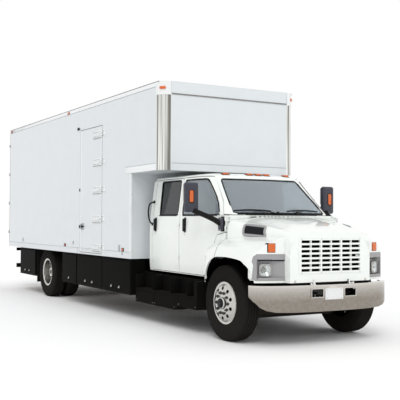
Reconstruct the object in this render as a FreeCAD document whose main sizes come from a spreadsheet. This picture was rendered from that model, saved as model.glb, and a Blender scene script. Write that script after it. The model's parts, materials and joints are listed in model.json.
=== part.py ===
import FreeCAD, Part
import math
import os
import re
from types import SimpleNamespace

import Sketcher

# Crew-cab box truck. Lengths in millimetres, +Z up, the truck faces -Y, its left side is +X.
# Pieces are drawn with y counted back from the front axle, then moved so that the origin is
# on the ground under the middle of the truck's length.

Vec = FreeCAD.Vector
doc = FreeCAD.newDocument("box_truck")

# Driving dimensions

SIZES = {
    # overall
    "wheelbase": 7100, "front_overhang": 960, "rear_overhang": 2600, "lock_proud": 45,
    "tyre_radius": 526, "fit_gap": 0.3, "shut_gap": 8, "cut_over": 60,
    # chassis frame
    "frame_half": 430, "frame_flange": 80, "frame_wall": 8, "frame_height": 260,
    "frame_top": 980, "frame_front": -700, "frame_rear": 9560, "cross_width": 90, "cross_pitch": 1280,
    "hitch_plate": 12, "hitch_half_x": 43, "hitch_half_z": 22, "hitch_hole": 6.75,
    # wheels and tyres
    "tyre_half": 139.5, "tread_half": 112, "bead_half": 104, "rim_width": 235, "flange_radius": 292,
    "flange_thick": 10, "seat_radius": 284, "well_radius": 256, "well_half": 70, "rim_wall": 9,
    "front_rim_face": 1135, "rear_rim_face": 1210, "dual_spacing": 330, "disc_wall": 14,
    "disc_out": 41, "disc_flat": 165, "hub_radius": 80, "cap_radius": 56, "cap_out": 92,
    "hub_depth": 175, "bead_lip": 2, "cap_crown": 24, "hub_step": 20, "hand_hole": 26, "hand_pitch": 205,
    "spindle_radius": 34, "spindle_tip": 30,
    "rear_hub_radius": 118, "rear_hub_out": 205, "rear_spindle": 45, "hub_bolts": 10,
    # front axle and steering
    "kingpin_x": 850, "kingpin_radius": 22, "boss_radius": 50, "boss_half": 50, "ear_thick": 40,
    "ear_radius": 45, "web_thick": 25, "web_gap": 2, "beam_half_y": 45, "beam_drop": 130,
    "beam_height": 110,
    "beam_flat": 640, "arm_back": 225, "arm_width": 40,
    # rear axle
    "axle_tube": 62, "bowl_radius": 195, "bowl_half": 130, "rear_tube_end": 600, "shaft_radius": 50,
    # leaf springs
    "spring_x": 430, "spring_width": 76, "spring_thick": 62, "spring_half": 700, "spring_rise": 70,
    "hanger_length": 60, "front_spring_low": 566, "rear_spring_low": 596,
    # engine, gearbox and radiator
    "engine_half": 310, "engine_front": -520, "engine_rear": 150, "engine_low": 640, "engine_top": 1380,
    "gearbox_half": 190, "gearbox_rear": 1150, "gearbox_low": 560, "gearbox_top": 900, "foot_size": 80,
    "radiator_half": 420, "radiator_front": -640, "radiator_thick": 80, "radiator_top": 1430,
    # bumper
    "bumper_front": -954, "bumper_low": 461, "bumper_top": 814, "bumper_wall": 10, "bumper_end_x": 1160,
    "bumper_end_y": -618, "bumper_lip": 46, "tow_hole_in": 182,
    "tow_hole_out": 380, "tow_hole_low": 650, "tow_hole_top": 763, "plate_half": 152, "plate_low": 615,
    "plate_top": 767, "plate_thick": 6, "bracket_low": 740, "bracket_top": 800,
    # steps under the cab
    "step_front": 620, "step_rear": 2660, "step_out": 1218, "step_in": 520, "step_top": 772,
    "step_low": 305, "step_front_low": 364, "step_break": 1201, "step_tread": 190, "step_rise": 235,
    # cab
    "cab_half": 1000, "cab_front": 200, "cab_rear": 2575, "cab_low": 833, "cab_belt": 1740,
    "cab_sill": 1765, "cab_wall": 45, "sill_half": 985, "eave_half": 915, "eave_height": 2300,
    "cab_top": 2398, "nose_y": 130, "corner_x": 850, "corner_y": 275, "flank_y": 600,
    "eave_nose_y": 760, "eave_corner_x": 720, "eave_corner_y": 835, "eave_flank_y": 1200,
    "toe_y": 545, "toe_mid_y": 400, "toe_mid_z": 1040, "toe_top_z": 1180, "glass_thick": 6,
    "glass_inset": 10, "tunnel_half": 480,
    # cab doors
    "door_axis_x": 1008, "front_axis_y": 194, "door_front": 208, "door_low": 852, "door_top": 2325,
    "pillar_front": 1540, "pillar_rear": 1572, "rear_axis_y": 1560, "rear_door_end": 2460,
    "window_low": 1750, "window_top": 2287, "hinge_radius": 8, "pin_radius": 4, "hinge_height": 44,
    "hinge_ear": 14, "handle_out": 34, "handle_low": 1490, "handle_top": 1690, "handle_width": 34,
    # cab furniture
    "dash_depth": 330, "dash_top": 1690, "dash_low": 1390, "dash_half": 900,
    "wheel_radius": 225, "wheel_rod": 15, "column_radius": 30, "seat_half": 235, "seat_x": 560,
    "cushion_top": 1330, "seat_front": 960, "seat_back": 1420, "back_thick": 120,
    "back_top": 2010, "bench_half": 840, "bench_front": 1960, "bench_back": 2400,
    # mirrors
    "mirror_x": 1266, "mirror_y": 725, "mirror_half": 112, "mirror_thick": 90, "mirror_low": 1780,
    "mirror_top": 2220, "arm_radius": 24, "base_front": 226, "base_rear": 310, "base_low": 1520,
    "base_top": 1705, "base_out": 56,
    # hood and fenders
    "hood_front": -890, "hood_rear": 178, "hood_wall": 26, "hood_low": 846, "hood_half": 686,
    "hood_rear_half": 985, "crown_front": 1522, "crown_rear": 1728, "shoulder_front": 1486,
    "shoulder_rear": 1672, "fender_half": 1218, "fender_in": 560, "fender_front": -800,
    "tail_front": 186, "tail_radius": 300, "hood_pivot_y": -900, "hood_pivot_z": 815,
    "hood_pin_x": 300, "hood_pin_radius": 12, "hood_lug": 24, "hood_seam": 20,
    # grille, lamps and vents
    "grille_half": 545, "grille_low": 965, "grille_top": 1432, "grille_thick": 24, "grille_rows": 7,
    "slot_gap": 26, "bezel_in": 640, "bezel_out": 1126, "bezel_low": 872, "bezel_round": 32,
    "bezel_top": 1226, "bezel_deep": 90, "scoop_deep": 72, "scoop_in": 690, "scoop_out": 1066,
    "scoop_low": 915, "scoop_top": 1150, "lens_x": 950, "lens_z": 1012, "lens_half": 80, "lens_sunk": 32,
    "turn_x": 890, "turn_z": 1305,
    "turn_half_x": 53, "turn_half_z": 61, "vent_front": -460, "vent_rear": -112, "vent_low": 1456,
    "vent_top": 1570,
    # van body
    "box_half": 1295.5, "box_front": 2720, "box_rear": 9700, "box_top": 3860, "box_low": 1010,
    "floor_low": 1092, "floor_top": 1150, "box_wall": 40, "nose_front": 1620,
    "nose_low": 2450, "roof_thick": 50, "post_radius": 170, "cast_thick": 8, "cast_low": 3640,
    "band_thick": 6, "header_low": 3670, "nose_band_top": 2560, "base_band_top": 1106,
    # side door and rear doors
    "side_front": 3946, "side_rear": 4990, "side_low": 1050, "side_top": 3383,
    "side_axis_back": 3938, "strap_long": 120, "strap_half": 32, "strap_thick": 8, "strap_pin": 7,
    "strap_barrel": 12, "rear_post": 50, "rear_header": 190, "rear_sill": 1160, "leaf_gap": 5,
    "bar_radius": 13, "bar_off": 10,
    # skirts and rear bumper
    "skirt_out": 1275, "skirt_in": 1010, "skirt_low": 400, "skirt_top": 1004, "skirt_front": 2728,
    "skirt_seam": 5193, "arch_front": 6011, "arch_rear": 7700, "skirt_end": 8830, "flap_thick": 10,
    "guard_half": 1130, "guard_low": 490, "guard_high": 590, "guard_depth": 60, "guard_leg_x": 560,
    # lamps on the van body
    "lamp_long": 100, "lamp_tall": 32, "lamp_out": 16, "tail_lamp_x": 950,
    # mud flaps
    "flap_in": 640, "flap_out": 1240, "flap_low": 270,
}

sheet = doc.addObject("Spreadsheet::Sheet", "size")
for row, (alias, number) in enumerate(SIZES.items(), start=1):
    sheet.set(f"A{row}", alias)
    sheet.set(f"B{row}", str(number))
    sheet.setAlias(f"B{row}", alias)
doc.recompute()
v = SimpleNamespace(**{alias: float(sheet.get(alias)) for alias in SIZES})

# Outline tables as shares of the sizes that they follow

# hood cross-section from the side up to the crown: share of half width, share of the shoulder's drop
hood_section_shares = [(1.0, 0.0), (1.0, 0.4), (0.998, 0.78), (0.985, 0.92), (0.94, 0.985), (0.86, 1.0)]
# stations along the hood: share of its length, share of the widening, share of the rise
hood_station_shares = [(0.0, 0.0, 0.0), (0.25, 0.16, 0.36), (0.5, 0.42, 0.6), (0.75, 0.76, 0.82),
                       (1.0, 1.0, 1.0)]
# fender outline seen from above: share of its width out from the inner side, share of its nose's depth
fender_plan_shares = [(0.0, 0.0), (0.2, 0.0), (0.5, 0.1), (0.76, 0.25), (0.9, 0.46), (0.972, 0.72),
                      (1.0, 1.0)]
# fender top seen from the front: share of its width, share of its height at the nose and at the tail
fender_top_shares = [(0.0, 1.0, 1.0), (0.3, 0.93, 0.965), (0.56, 0.82, 0.92), (0.74, 0.69, 0.86),
                     (0.88, 0.53, 0.74), (0.96, 0.36, 0.56), (1.0, 0.15, 0.3)]
# wheel arch seen from the side: share of the arch's half length, share of its height
arch_shares = [(1.0, 0.0), (0.96, 0.24), (0.88, 0.52), (0.72, 0.8), (0.46, 0.96), (0.1, 1.0), (-0.3, 1.0),
               (-0.75, 0.97), (-1.18, 0.88), (-1.42, 0.66), (-1.5, 0.4), (-1.52, 0.0)]
# heights in the tyre's upper half, as shares of its radius above the axle
sweep_shares = [0.3, 0.45, 0.6, 0.7, 0.8, 0.88, 0.95, 1.0]
# bumper's lower edge seen from the front: share of its half width, share of its height
bumper_low_shares = [(0.55, 0.0), (0.76, 0.02), (0.86, 0.08), (0.93, 0.2), (0.975, 0.4), (1.0, 0.62)]
# bumper front seen from above: share of its half width, share of its sweep back
bumper_shares = [(0.0, 0.0), (0.3, 0.03), (0.55, 0.13), (0.72, 0.25), (0.85, 0.4), (0.95, 0.62), (1.0, 1.0)]
# roof crown: share of the rise above the eaves, share of the inset from them
crown_shares = [(0.0, 0.0), (0.45, 0.07), (0.75, 0.24), (0.93, 0.55), (1.0, 1.0)]


# Small tools

def bound(text):
    """Turn a sum of size names into an expression on the sheet."""
    return re.sub(r"\b([a-z][a-z_]*)\b", r"size.\1", text)


def block(name, x_from, x_to, y_from, y_to, z_from, z_to):
    """Make a box between two corners given in size names."""
    box = doc.addObject("Part::Box", name)
    sides = (("Length", "x", x_from, x_to), ("Width", "y", y_from, y_to), ("Height", "z", z_from, z_to))
    for side, axis, low, high in sides:
        box.setExpression(side, f"({bound(high)}) - ({bound(low)})")
        box.setExpression(f"Placement.Base.{axis}", bound(low))
    return box


def rod(name, radius, length, x, y, z, way):
    """Make a round bar from a point along x, y or z."""
    bar = doc.addObject("Part::Cylinder", name)
    bar.setExpression("Radius", bound(radius))
    bar.setExpression("Height", bound(length))
    ways = {"x": Vec(1, 0, 0), "y": Vec(0, 1, 0), "z": Vec(0, 0, 1)}
    bar.Placement = FreeCAD.Placement(Vec(0, 0, 0), FreeCAD.Rotation(Vec(0, 0, 1), ways[way]))
    for axis, place in (("x", x), ("y", y), ("z", z)):
        bar.setExpression(f"Placement.Base.{axis}", bound(place))
    return bar


def fused(name, parts):
    """Join solids into one."""
    group = doc.addObject("Part::MultiFuse", name)
    group.Shapes = parts
    return group


def cut(name, base, tools):
    """Take one or more solids away from another."""
    result = doc.addObject("Part::Cut", name)
    result.Base = base
    result.Tool = tools[0] if len(tools) == 1 else grouped(name + "_tools", tools)
    return result


def grouped(name, parts):
    """Hold solids that don't touch as one object."""
    group = doc.addObject("Part::Compound", name)
    group.Links = parts
    return group


def mirrored(name, source):
    """Mirror an object to the truck's other side."""
    twin = doc.addObject("Part::Mirroring", name)
    twin.Source = source
    twin.Normal = Vec(1, 0, 0)
    return twin


def shaped(name, shape):
    """Hold a shape worked out from the sheet's sizes."""
    feature = doc.addObject("Part::Feature", name)
    feature.Shape = shape
    return feature


def sketch_on(body, name, role, offset):
    """Start a sketch on one of a body's own planes, moved along that plane's normal."""
    sketch = body.newObject("Sketcher::SketchObject", name)
    plane = [item for item in body.Origin.OriginFeatures if item.Role == role][0]
    sketch.AttachmentSupport = [(plane, "")]
    sketch.MapMode = "FlatFace"
    if offset:
        sketch.setExpression("AttachmentOffset.Base.z", bound(offset))
    return sketch


def outline(sketch, corners):
    """Draw a closed outline whose corners are bound to sizes."""
    count = len(corners)
    start = [Vec(math.cos(2 * math.pi * i / count), math.sin(2 * math.pi * i / count), 0)
             for i in range(count)]
    for i in range(count):
        sketch.addGeometry(Part.LineSegment(start[i], start[(i + 1) % count]), False)
    for i in range(count):
        sketch.addConstraint(Sketcher.Constraint("Coincident", i, 2, (i + 1) % count, 1))
    for i, corner in enumerate(corners):
        for kind, text in zip(("DistanceX", "DistanceY"), corner):
            number = sketch.addConstraint(Sketcher.Constraint(kind, -1, 1, i, 1, 1.0))
            sketch.setExpression(f"Constraints[{number}]", bound(text))


def padded(name, role, corners, low, high):
    """Extrude an outline on a plane from one place to another along the plane's axis."""
    body = doc.addObject("PartDesign::Body", name)
    sketch = sketch_on(body, name + "_sketch", role, f"-({high})" if role == "XZ_Plane" else low)
    outline(sketch, corners)
    pad = body.newObject("PartDesign::Pad", name + "_pad")
    pad.Profile = sketch
    pad.setExpression("Length", f"({bound(high)}) - ({bound(low)})")
    return body


def turned(name, corners):
    """Revolve an outline of (place along x, radius) about the x axis."""
    body = doc.addObject("PartDesign::Body", name)
    sketch = sketch_on(body, name + "_sketch", "XY_Plane", "")
    outline(sketch, corners)
    turn = body.newObject("PartDesign::Revolution", name + "_turn")
    turn.Profile = sketch
    turn.ReferenceAxis = (sketch, ["H_Axis"])
    turn.Angle = 360
    return body


def ringed_holes(body, name, radius, pitch, count):
    """Cut a ring of round holes through a turned body, along x."""
    sketch = sketch_on(body, name + "_sketch", "YZ_Plane", "")
    sketch.addGeometry(Part.Circle(Vec(0, 1, 0), Vec(0, 0, 1), 1), False)
    sketch.addConstraint(Sketcher.Constraint("PointOnObject", 0, 3, -2))
    number = sketch.addConstraint(Sketcher.Constraint("DistanceY", -1, 1, 0, 3, 1.0))
    sketch.setExpression(f"Constraints[{number}]", bound(pitch))
    number = sketch.addConstraint(Sketcher.Constraint("Radius", 0, 1.0))
    sketch.setExpression(f"Constraints[{number}]", bound(radius))
    pocket = body.newObject("PartDesign::Pocket", name + "_pocket")
    pocket.Profile = sketch
    pocket.Type = "ThroughAll"
    pocket.Reversed = True
    pattern = body.newObject("PartDesign::PolarPattern", name + "_ring")
    pattern.Originals = [pocket]
    pattern.Axis = ([item for item in body.Origin.OriginFeatures if item.Role == "X_Axis"][0], [""])
    pattern.Angle = 360
    pattern.Occurrences = int(count)
    body.Tip = pattern


def spline(points):
    """Make a smooth edge through points."""
    curve = Part.BSplineCurve()
    curve.interpolate(points)
    return curve.toShape()


def prism(points, way):
    """Extrude a flat polygon by a vector."""
    return Part.Face(Part.makePolygon(points + points[:1])).extrude(way)


def side_prism(points, x_from, x_to):
    """Extrude a polygon of (y, z) places between two places along x."""
    return prism([Vec(x_from, y, z) for y, z in points], Vec(x_to - x_from, 0, 0))


def front_prism(points, y_from, y_to):
    """Extrude a polygon of (x, z) places between two places along y."""
    return prism([Vec(x, y_from, z) for x, z in points], Vec(0, y_to - y_from, 0))


def plan_prism(points, z_from, z_to):
    """Extrude a polygon of (x, y) places between two heights."""
    return prism([Vec(x, y, z_from) for x, y in points], Vec(0, 0, z_to - z_from))


def box_shape(x_from, x_to, y_from, y_to, z_from, z_to):
    """Make a plain box shape between two corners."""
    return Part.makeBox(x_to - x_from, y_to - y_from, z_to - z_from, Vec(x_from, y_from, z_from))


def between(low, high, share):
    """Return the value at a share of the way from low to high."""
    return low + (high - low) * share


pieces = {}


def piece(label, obj, height=""):
    """Name a sub-part and move it from the front axle's frame to the truck's own frame."""
    obj.Label = label
    obj.setExpression("Placement.Base.y",
                      bound("-(front_overhang + wheelbase + rear_overhang + lock_proud) / 2"
                                                " + front_overhang"))
    if height:
        obj.setExpression("Placement.Base.z", bound(height))
    pieces[label] = obj
    return obj


def twin_piece(label, source):
    """Mirror a finished left-hand sub-part to make the right-hand one."""
    pieces[label] = mirrored(label + "_mirror", source)
    pieces[label].Label = label


# Chassis frame: two channel rails with cross members and a drilled hitch plate

def make_frame():
    """Build the ladder frame."""
    low = "frame_top - frame_height"
    inner = "frame_half - frame_flange"
    web = "frame_half - frame_wall"
    rail = padded("rail", "XZ_Plane", [
        ("frame_half", low), ("frame_half", "frame_top"), (inner, "frame_top"),
        (inner, "frame_top - frame_wall"), (web, "frame_top - frame_wall"),
        (web, low + " + frame_wall"), (inner, low + " + frame_wall"), (inner, low)],
        "frame_front", "frame_rear")
    parts = [rail, mirrored("rail_twin", rail)]
    count = int((v.frame_rear - v.gearbox_rear) // v.cross_pitch)
    for i in range(count):
        start = f"frame_rear - {i} * cross_pitch - cross_width"
        parts.append(block(f"cross_{i}", "-(" + web + ")", web, start, start + " + cross_width",
                           low + " + 6 * frame_wall", "frame_top - 3 * frame_wall"))
    parts.append(block("front_cross", "-(" + web + ")", web, "frame_front", "frame_front + cross_width / 2",
                       low + " + frame_wall", "frame_top - 12 * frame_wall"))
    plate = block("hitch", "-frame_half", "frame_half", "frame_rear", "frame_rear + hitch_plate",
                  low, "frame_top")
    holes = [rod(f"hitch_hole_{i}", "hitch_hole", "hitch_plate + cross_width + 2 * cut_over",
                 f"{x} * hitch_half_x", "frame_rear - cross_width - cut_over",
                 f"frame_top - frame_height / 2 + {z} * hitch_half_z", "y")
             for i, (x, z) in enumerate([(-1, -1), (1, -1), (-1, 1), (1, 1)])]
    piece("frame_rails", cut("frame_cut", fused("frame_joined", parts + [plate]), holes))


# Wheels: turned rims with hand holes, turned tyres

def tyre_profile(centre):
    """Return the tyre's section as (place along x, radius)."""
    half = [("bead_half", "seat_radius + fit_gap"), ("bead_half", "flange_radius + bead_lip"),
            ("bead_half + flange_thick * 2", "flange_radius + flange_thick"),
            ("tyre_half", "(tyre_radius + flange_radius) / 2 - flange_thick * 3"),
            ("tyre_half", "(tyre_radius + flange_radius) / 2 + flange_thick"),
            ("(tyre_half + tread_half) / 2 + bead_lip", "tyre_radius - flange_thick * 4.6"),
            ("tread_half", "tyre_radius - flange_thick * 1.2"),
            ("tread_half - flange_thick * 1.7", "tyre_radius - bead_lip / 2"),
            ("tread_half / 3", "tyre_radius")]
    outer = [(f"{centre} + {x}", r) for x, r in half]
    inner = [(f"{centre} - ({x})", r) for x, r in reversed(half)]
    return outer + inner


def rim_barrel(face, way):
    """Return the outer side of a rim section from its face, going inwards (way -1) or outwards (1)."""
    steps = [("0", "flange_radius"), ("flange_thick", "flange_radius"), ("flange_thick", "seat_radius"),
             ("rim_width / 2 - well_half", "seat_radius - bead_lip / 2"),
             ("rim_width / 2 - well_half + 2 * rim_wall", "well_radius"),
             ("rim_width / 2 + well_half - 2 * rim_wall", "well_radius"),
             ("rim_width / 2 + well_half", "seat_radius - bead_lip / 2"),
             ("rim_width - flange_thick", "seat_radius"),
             ("rim_width - flange_thick", "flange_radius"), ("rim_width", "flange_radius")]
    return [(f"{face} + ({way}) * ({x})", r) for x, r in steps]


def make_front_wheel():
    """Build the left steered wheel: its disc stands out of the rim."""
    face = "front_rim_face"
    inner_r = "well_radius - rim_wall"
    disc = face + " + disc_out"
    profile = [(face + " - hub_depth", "spindle_radius + fit_gap"), (face + " - hub_depth", "hub_radius"),
               (disc + " - disc_wall", "hub_radius"), (disc + " - disc_wall", "disc_flat"),
               (face + " + disc_out / 2 - disc_wall", "hand_pitch + hand_hole / 2"),
               (face + " - 3.2 * flange_thick", inner_r), (face + " - rim_width + rim_wall", inner_r),
               (face + " - rim_width", "seat_radius")]
    profile += list(reversed(rim_barrel(face, -1)))
    profile += [(face, "seat_radius - rim_wall / 2"), (face + " - flange_thick", "well_radius + rim_wall"),
                (face + " + disc_out / 2 + bead_lip", "hand_pitch + 1.2 * hand_hole"),
                (disc, "disc_flat + 3 * bead_lip"),
                (disc, "hub_radius + bead_lip"), (disc + " + cap_crown / 2", "hub_radius"),
                (face + " + cap_out - cap_crown", "cap_radius + 2 * bead_lip"),
                (face + " + cap_out - cap_crown / 3", "cap_radius"),
                (face + " + cap_out", "cap_radius - cap_crown / 2"),
                (face + " + cap_out", "0"), (face + " + spindle_tip + rim_wall", "0"),
                (face + " + spindle_tip + rim_wall", "spindle_radius + fit_gap")]
    rim = turned("front_rim", profile)
    ringed_holes(rim, "front_hand", "hand_hole", "hand_pitch", v.hub_bolts)
    piece("left_front_rim", rim, "tyre_radius")
    tyre = turned("front_tyre", tyre_profile("front_rim_face - rim_width / 2"))
    piece("left_front_tyre", tyre, "tyre_radius")


def make_rear_wheels():
    """Build the left twin wheels: two dished discs back to back on one hub."""
    outer = "rear_rim_face"
    inner = "rear_rim_face - dual_spacing - rim_width"
    middle = "rear_rim_face - rim_width / 2 - dual_spacing / 2"
    inner_r = "well_radius - rim_wall"
    bore = "rear_spindle + fit_gap"
    profile = [(middle + " - rear_hub_out", bore), (middle + " - rear_hub_out", "rear_hub_radius * 0.8"),
               (middle + " - disc_wall - hub_step", "rear_hub_radius"),
               (middle + " - disc_wall", "rear_hub_radius + hub_step / 5"),
               (middle + " - disc_wall", "disc_flat + hub_step * 0.4"),
               (inner + " + rim_width - 2 * flange_thick", inner_r),
               (inner + " + rim_wall", inner_r), (inner, "seat_radius")]
    profile += rim_barrel(inner, 1)
    profile += [(inner + " + rim_width", "well_radius"), (middle + " - hub_step / 5",
                                                          "disc_flat + 2 * hub_step"),
                (middle + " + hub_step / 5", "disc_flat + 2 * hub_step"),
                (outer + " - rim_width", "well_radius")]
    profile += list(reversed(rim_barrel(outer, -1)))
    profile += [(outer, "seat_radius"), (outer + " - rim_wall", inner_r),
                (outer + " - rim_width + 2 * flange_thick", inner_r),
                (middle + " + disc_wall", "disc_flat + hub_step * 0.4"),
                (middle + " + disc_wall", "rear_hub_radius + hub_step / 5"),
                (middle + " + disc_wall + hub_step", "rear_hub_radius"),
                (middle + " + rear_hub_out", "rear_hub_radius * 0.8"), (middle + " + rear_hub_out", bore)]
    rims = turned("rear_rims", profile)
    ringed_holes(rims, "rear_hand", "hand_hole", "hand_pitch", v.hub_bolts)
    piece("left_rear_rims", rims, "tyre_radius")
    rims.setExpression("Placement.Base.y", REAR_PLACE)
    tyres = grouped("rear_tyre_pair", [turned("rear_tyre_out", tyre_profile(outer + " - rim_width / 2")),
                                       turned("rear_tyre_in", tyre_profile(inner + " + rim_width / 2"))])
    piece("left_rear_tyres", tyres, "tyre_radius")
    tyres.setExpression("Placement.Base.y", REAR_PLACE)


REAR_PLACE = bound("-(front_overhang + wheelbase + rear_overhang + lock_proud) / 2"
                   " + front_overhang + wheelbase")


# Front axle, knuckles, rear axle and springs

def make_front_axle():
    """Build the dropped beam with kingpins in its end bosses."""
    low = "tyre_radius - beam_drop"
    end_low = "tyre_radius - boss_half"
    beam = padded("beam", "XZ_Plane", [
        ("-beam_flat", low), ("beam_flat", low), ("kingpin_x - 1.3 * boss_radius", end_low),
        ("kingpin_x - boss_radius / 2", end_low),
        ("kingpin_x - boss_radius / 2", "tyre_radius + boss_half"),
        ("kingpin_x - 2 * boss_radius", "tyre_radius + boss_half"),
        ("beam_flat", low + " + beam_height"), ("-beam_flat", low + " + beam_height"),
        ("-(kingpin_x - 2 * boss_radius)", "tyre_radius + boss_half"),
        ("-(kingpin_x - boss_radius / 2)", "tyre_radius + boss_half"),
        ("-(kingpin_x - boss_radius / 2)", end_low), ("-(kingpin_x - 1.3 * boss_radius)", end_low)],
        "-beam_half_y", "beam_half_y")
    parts = [beam]
    for side, way in (("left", "1"), ("right", "-1")):
        parts.append(rod(f"boss_{side}", "boss_radius", "2 * boss_half", f"{way} * kingpin_x", "0",
                         end_low, "z"))
        parts.append(rod(f"kingpin_{side}", "kingpin_radius", "2 * boss_half + 2 * ear_thick + 2 * fit_gap",
                         f"{way} * kingpin_x", "0", end_low + " - ear_thick - fit_gap", "z"))
        parts.append(block(f"seat_{side}", f"{way} * spring_x - spring_width / 2",
                           f"{way} * spring_x + spring_width / 2",
                           "-beam_half_y", "beam_half_y", low + " + beam_height / 2", "front_spring_low"))
    piece("front_axle", fused("front_axle_joined", parts))


def make_knuckle():
    """Build the left knuckle: two bored ears on the kingpin, a web and the wheel's spindle."""
    parts = []
    web = "kingpin_x + boss_radius + web_gap"
    for level, low in (("low", "tyre_radius - boss_half - fit_gap - ear_thick"),
                       ("high", "tyre_radius + boss_half + fit_gap")):
        parts.append(rod(f"ear_{level}", "ear_radius", "ear_thick", "kingpin_x", "0", low, "z"))
        parts.append(block(f"ear_bar_{level}", "kingpin_x", web + " + web_thick", "-ear_radius",
                           "ear_radius",
                           low, low + " + ear_thick"))
    parts.append(block("knuckle_web", web, web + " + web_thick", "-ear_radius", "ear_radius",
                       "tyre_radius - boss_half - ear_thick", "tyre_radius + boss_half + ear_thick"))
    parts.append(rod("spindle", "spindle_radius", "front_rim_face + spindle_tip - (" + web + ")", web, "0",
                     "tyre_radius", "x"))
    parts.append(block("steering_arm", "kingpin_x - arm_width / 2", "kingpin_x + arm_width / 2", "0",
                       "arm_back",
                       "tyre_radius - boss_half - ear_thick", "tyre_radius - boss_half - fit_gap"))
    bore = rod("kingpin_bore", "kingpin_radius + fit_gap", "2 * (boss_half + ear_thick + cut_over)",
               "kingpin_x", "0",
               "tyre_radius - boss_half - ear_thick - cut_over", "z")
    piece("left_knuckle", cut("knuckle_cut", fused("knuckle_joined", parts), [bore]))


def make_rear_axle():
    """Build the banjo housing with its spindles and the propeller shaft."""
    middle = "rear_rim_face - rim_width / 2 - dual_spacing / 2"
    housing = turned("housing", [
        ("-(" + middle + " + rear_hub_out)", "0"), ("-(" + middle + " + rear_hub_out)", "rear_spindle"),
        ("-rear_tube_end", "rear_spindle"), ("-rear_tube_end", "axle_tube"),
        ("-bowl_half * 1.7", "axle_tube"),
        ("-bowl_half * 0.9", "bowl_radius * 0.82"), ("-bowl_half * 0.4", "bowl_radius"),
        ("bowl_half * 0.4", "bowl_radius"), ("bowl_half * 0.9", "bowl_radius * 0.82"),
        ("bowl_half * 1.7", "axle_tube"), ("rear_tube_end", "axle_tube"), ("rear_tube_end", "rear_spindle"),
        (middle + " + rear_hub_out", "rear_spindle"), (middle + " + rear_hub_out", "0")])
    housing.setExpression("Placement.Base.y", bound("wheelbase"))
    housing.setExpression("Placement.Base.z", bound("tyre_radius"))
    shaft = rod("shaft", "shaft_radius", "wheelbase - gearbox_rear", "0", "gearbox_rear",
                "tyre_radius + bowl_half", "y")
    start = "frame_rear - 5 * cross_pitch - cross_width"
    hanger = block("shaft_hanger", "-(2 * shaft_radius)", "2 * shaft_radius", start, start + " + foot_size",
                   "tyre_radius + bowl_half - shaft_radius", "frame_top - frame_height + 6 * frame_wall")
    parts = [housing, shaft, hanger]
    for side, way in (("left", "1"), ("right", "-1")):
        parts.append(block(f"rear_seat_{side}", f"{way} * spring_x - spring_width / 2",
                           f"{way} * spring_x + spring_width / 2",
                           "wheelbase - axle_tube", "wheelbase + axle_tube", "tyre_radius",
                           "rear_spring_low"))
    piece("rear_axle", fused("rear_axle_joined", parts))


def spring_body(name, centre, low):
    """Build one leaf pack with its two hangers up to the frame rail."""
    frame_low = "frame_top - frame_height"
    corners = [(f"{centre} - spring_half", f"{low} + spring_rise"),
               (f"{centre} - spring_half / 2", f"{low} + spring_rise / 4"),
               (f"{centre} - spring_half / 5", low), (f"{centre} + spring_half / 5", low),
               (f"{centre} + spring_half / 2", f"{low} + spring_rise / 4"),
               (f"{centre} + spring_half", f"{low} + spring_rise"),
               (f"{centre} + spring_half", frame_low), (f"{centre} + spring_half - hanger_length",
                                                        frame_low),
               (f"{centre} + spring_half - hanger_length", f"{low} + spring_rise + spring_thick / 3"),
               (f"{centre} + spring_half / 2", f"{low} + spring_thick * 0.8"),
               (f"{centre}", f"{low} + spring_thick"),
               (f"{centre} - spring_half / 2", f"{low} + spring_thick * 0.8"),
               (f"{centre} - spring_half + hanger_length", f"{low} + spring_rise + spring_thick / 3"),
               (f"{centre} - spring_half + hanger_length", frame_low),
               (f"{centre} - spring_half", frame_low)]
    return padded(name, "YZ_Plane", corners, "spring_x - spring_width / 2", "spring_x + spring_width / 2")


def make_springs():
    """Build the four leaf packs."""
    left = [spring_body("front_spring", "0", "front_spring_low"),
            spring_body("rear_spring", "wheelbase", "rear_spring_low")]
    piece("leaf_springs", grouped("springs", left + [mirrored(item.Name + "_twin", item) for item in left]))


# Engine, gearbox and radiator

def make_engine():
    """Build the plain engine block with its gearbox and feet on the rails."""
    web = "frame_half - frame_wall - fit_gap"
    foot_low = "frame_top - frame_height + 3 * frame_wall"
    parts = [block("engine", "-engine_half", "engine_half", "engine_front", "engine_rear", "engine_low",
                   "engine_top"),
             block("gearbox", "-gearbox_half", "gearbox_half", "engine_rear", "gearbox_rear",
                   "gearbox_low", "gearbox_top")]
    for i, start in enumerate(("engine_front + foot_size", "gearbox_rear - 2 * foot_size")):
        parts.append(block(f"foot_{i}", "-(" + web + ")", web, start, start + " + foot_size", foot_low,
                           foot_low + " + foot_size"))
    piece("engine_block", fused("engine_joined", parts))
    piece("radiator", grouped("radiator_set", [block("radiator_core", "-radiator_half", "radiator_half",
                                                     "radiator_front",
                                                     "radiator_front + radiator_thick", "frame_top",
                                                     "radiator_top")]))


# Bumper: a curved wall with tow openings, a blank plate and brackets to the rails

def bumper_curve(inset, z):
    """Return the points of the bumper's face seen from above, moved back by an inset."""
    sweep = v.bumper_end_y - v.bumper_front
    half = [Vec((v.bumper_end_x - inset) * a, v.bumper_front + inset + sweep * b, z) for a,
            b in bumper_shares]
    return [Vec(-p.x, p.y, p.z) for p in reversed(half[1:])] + half


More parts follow.
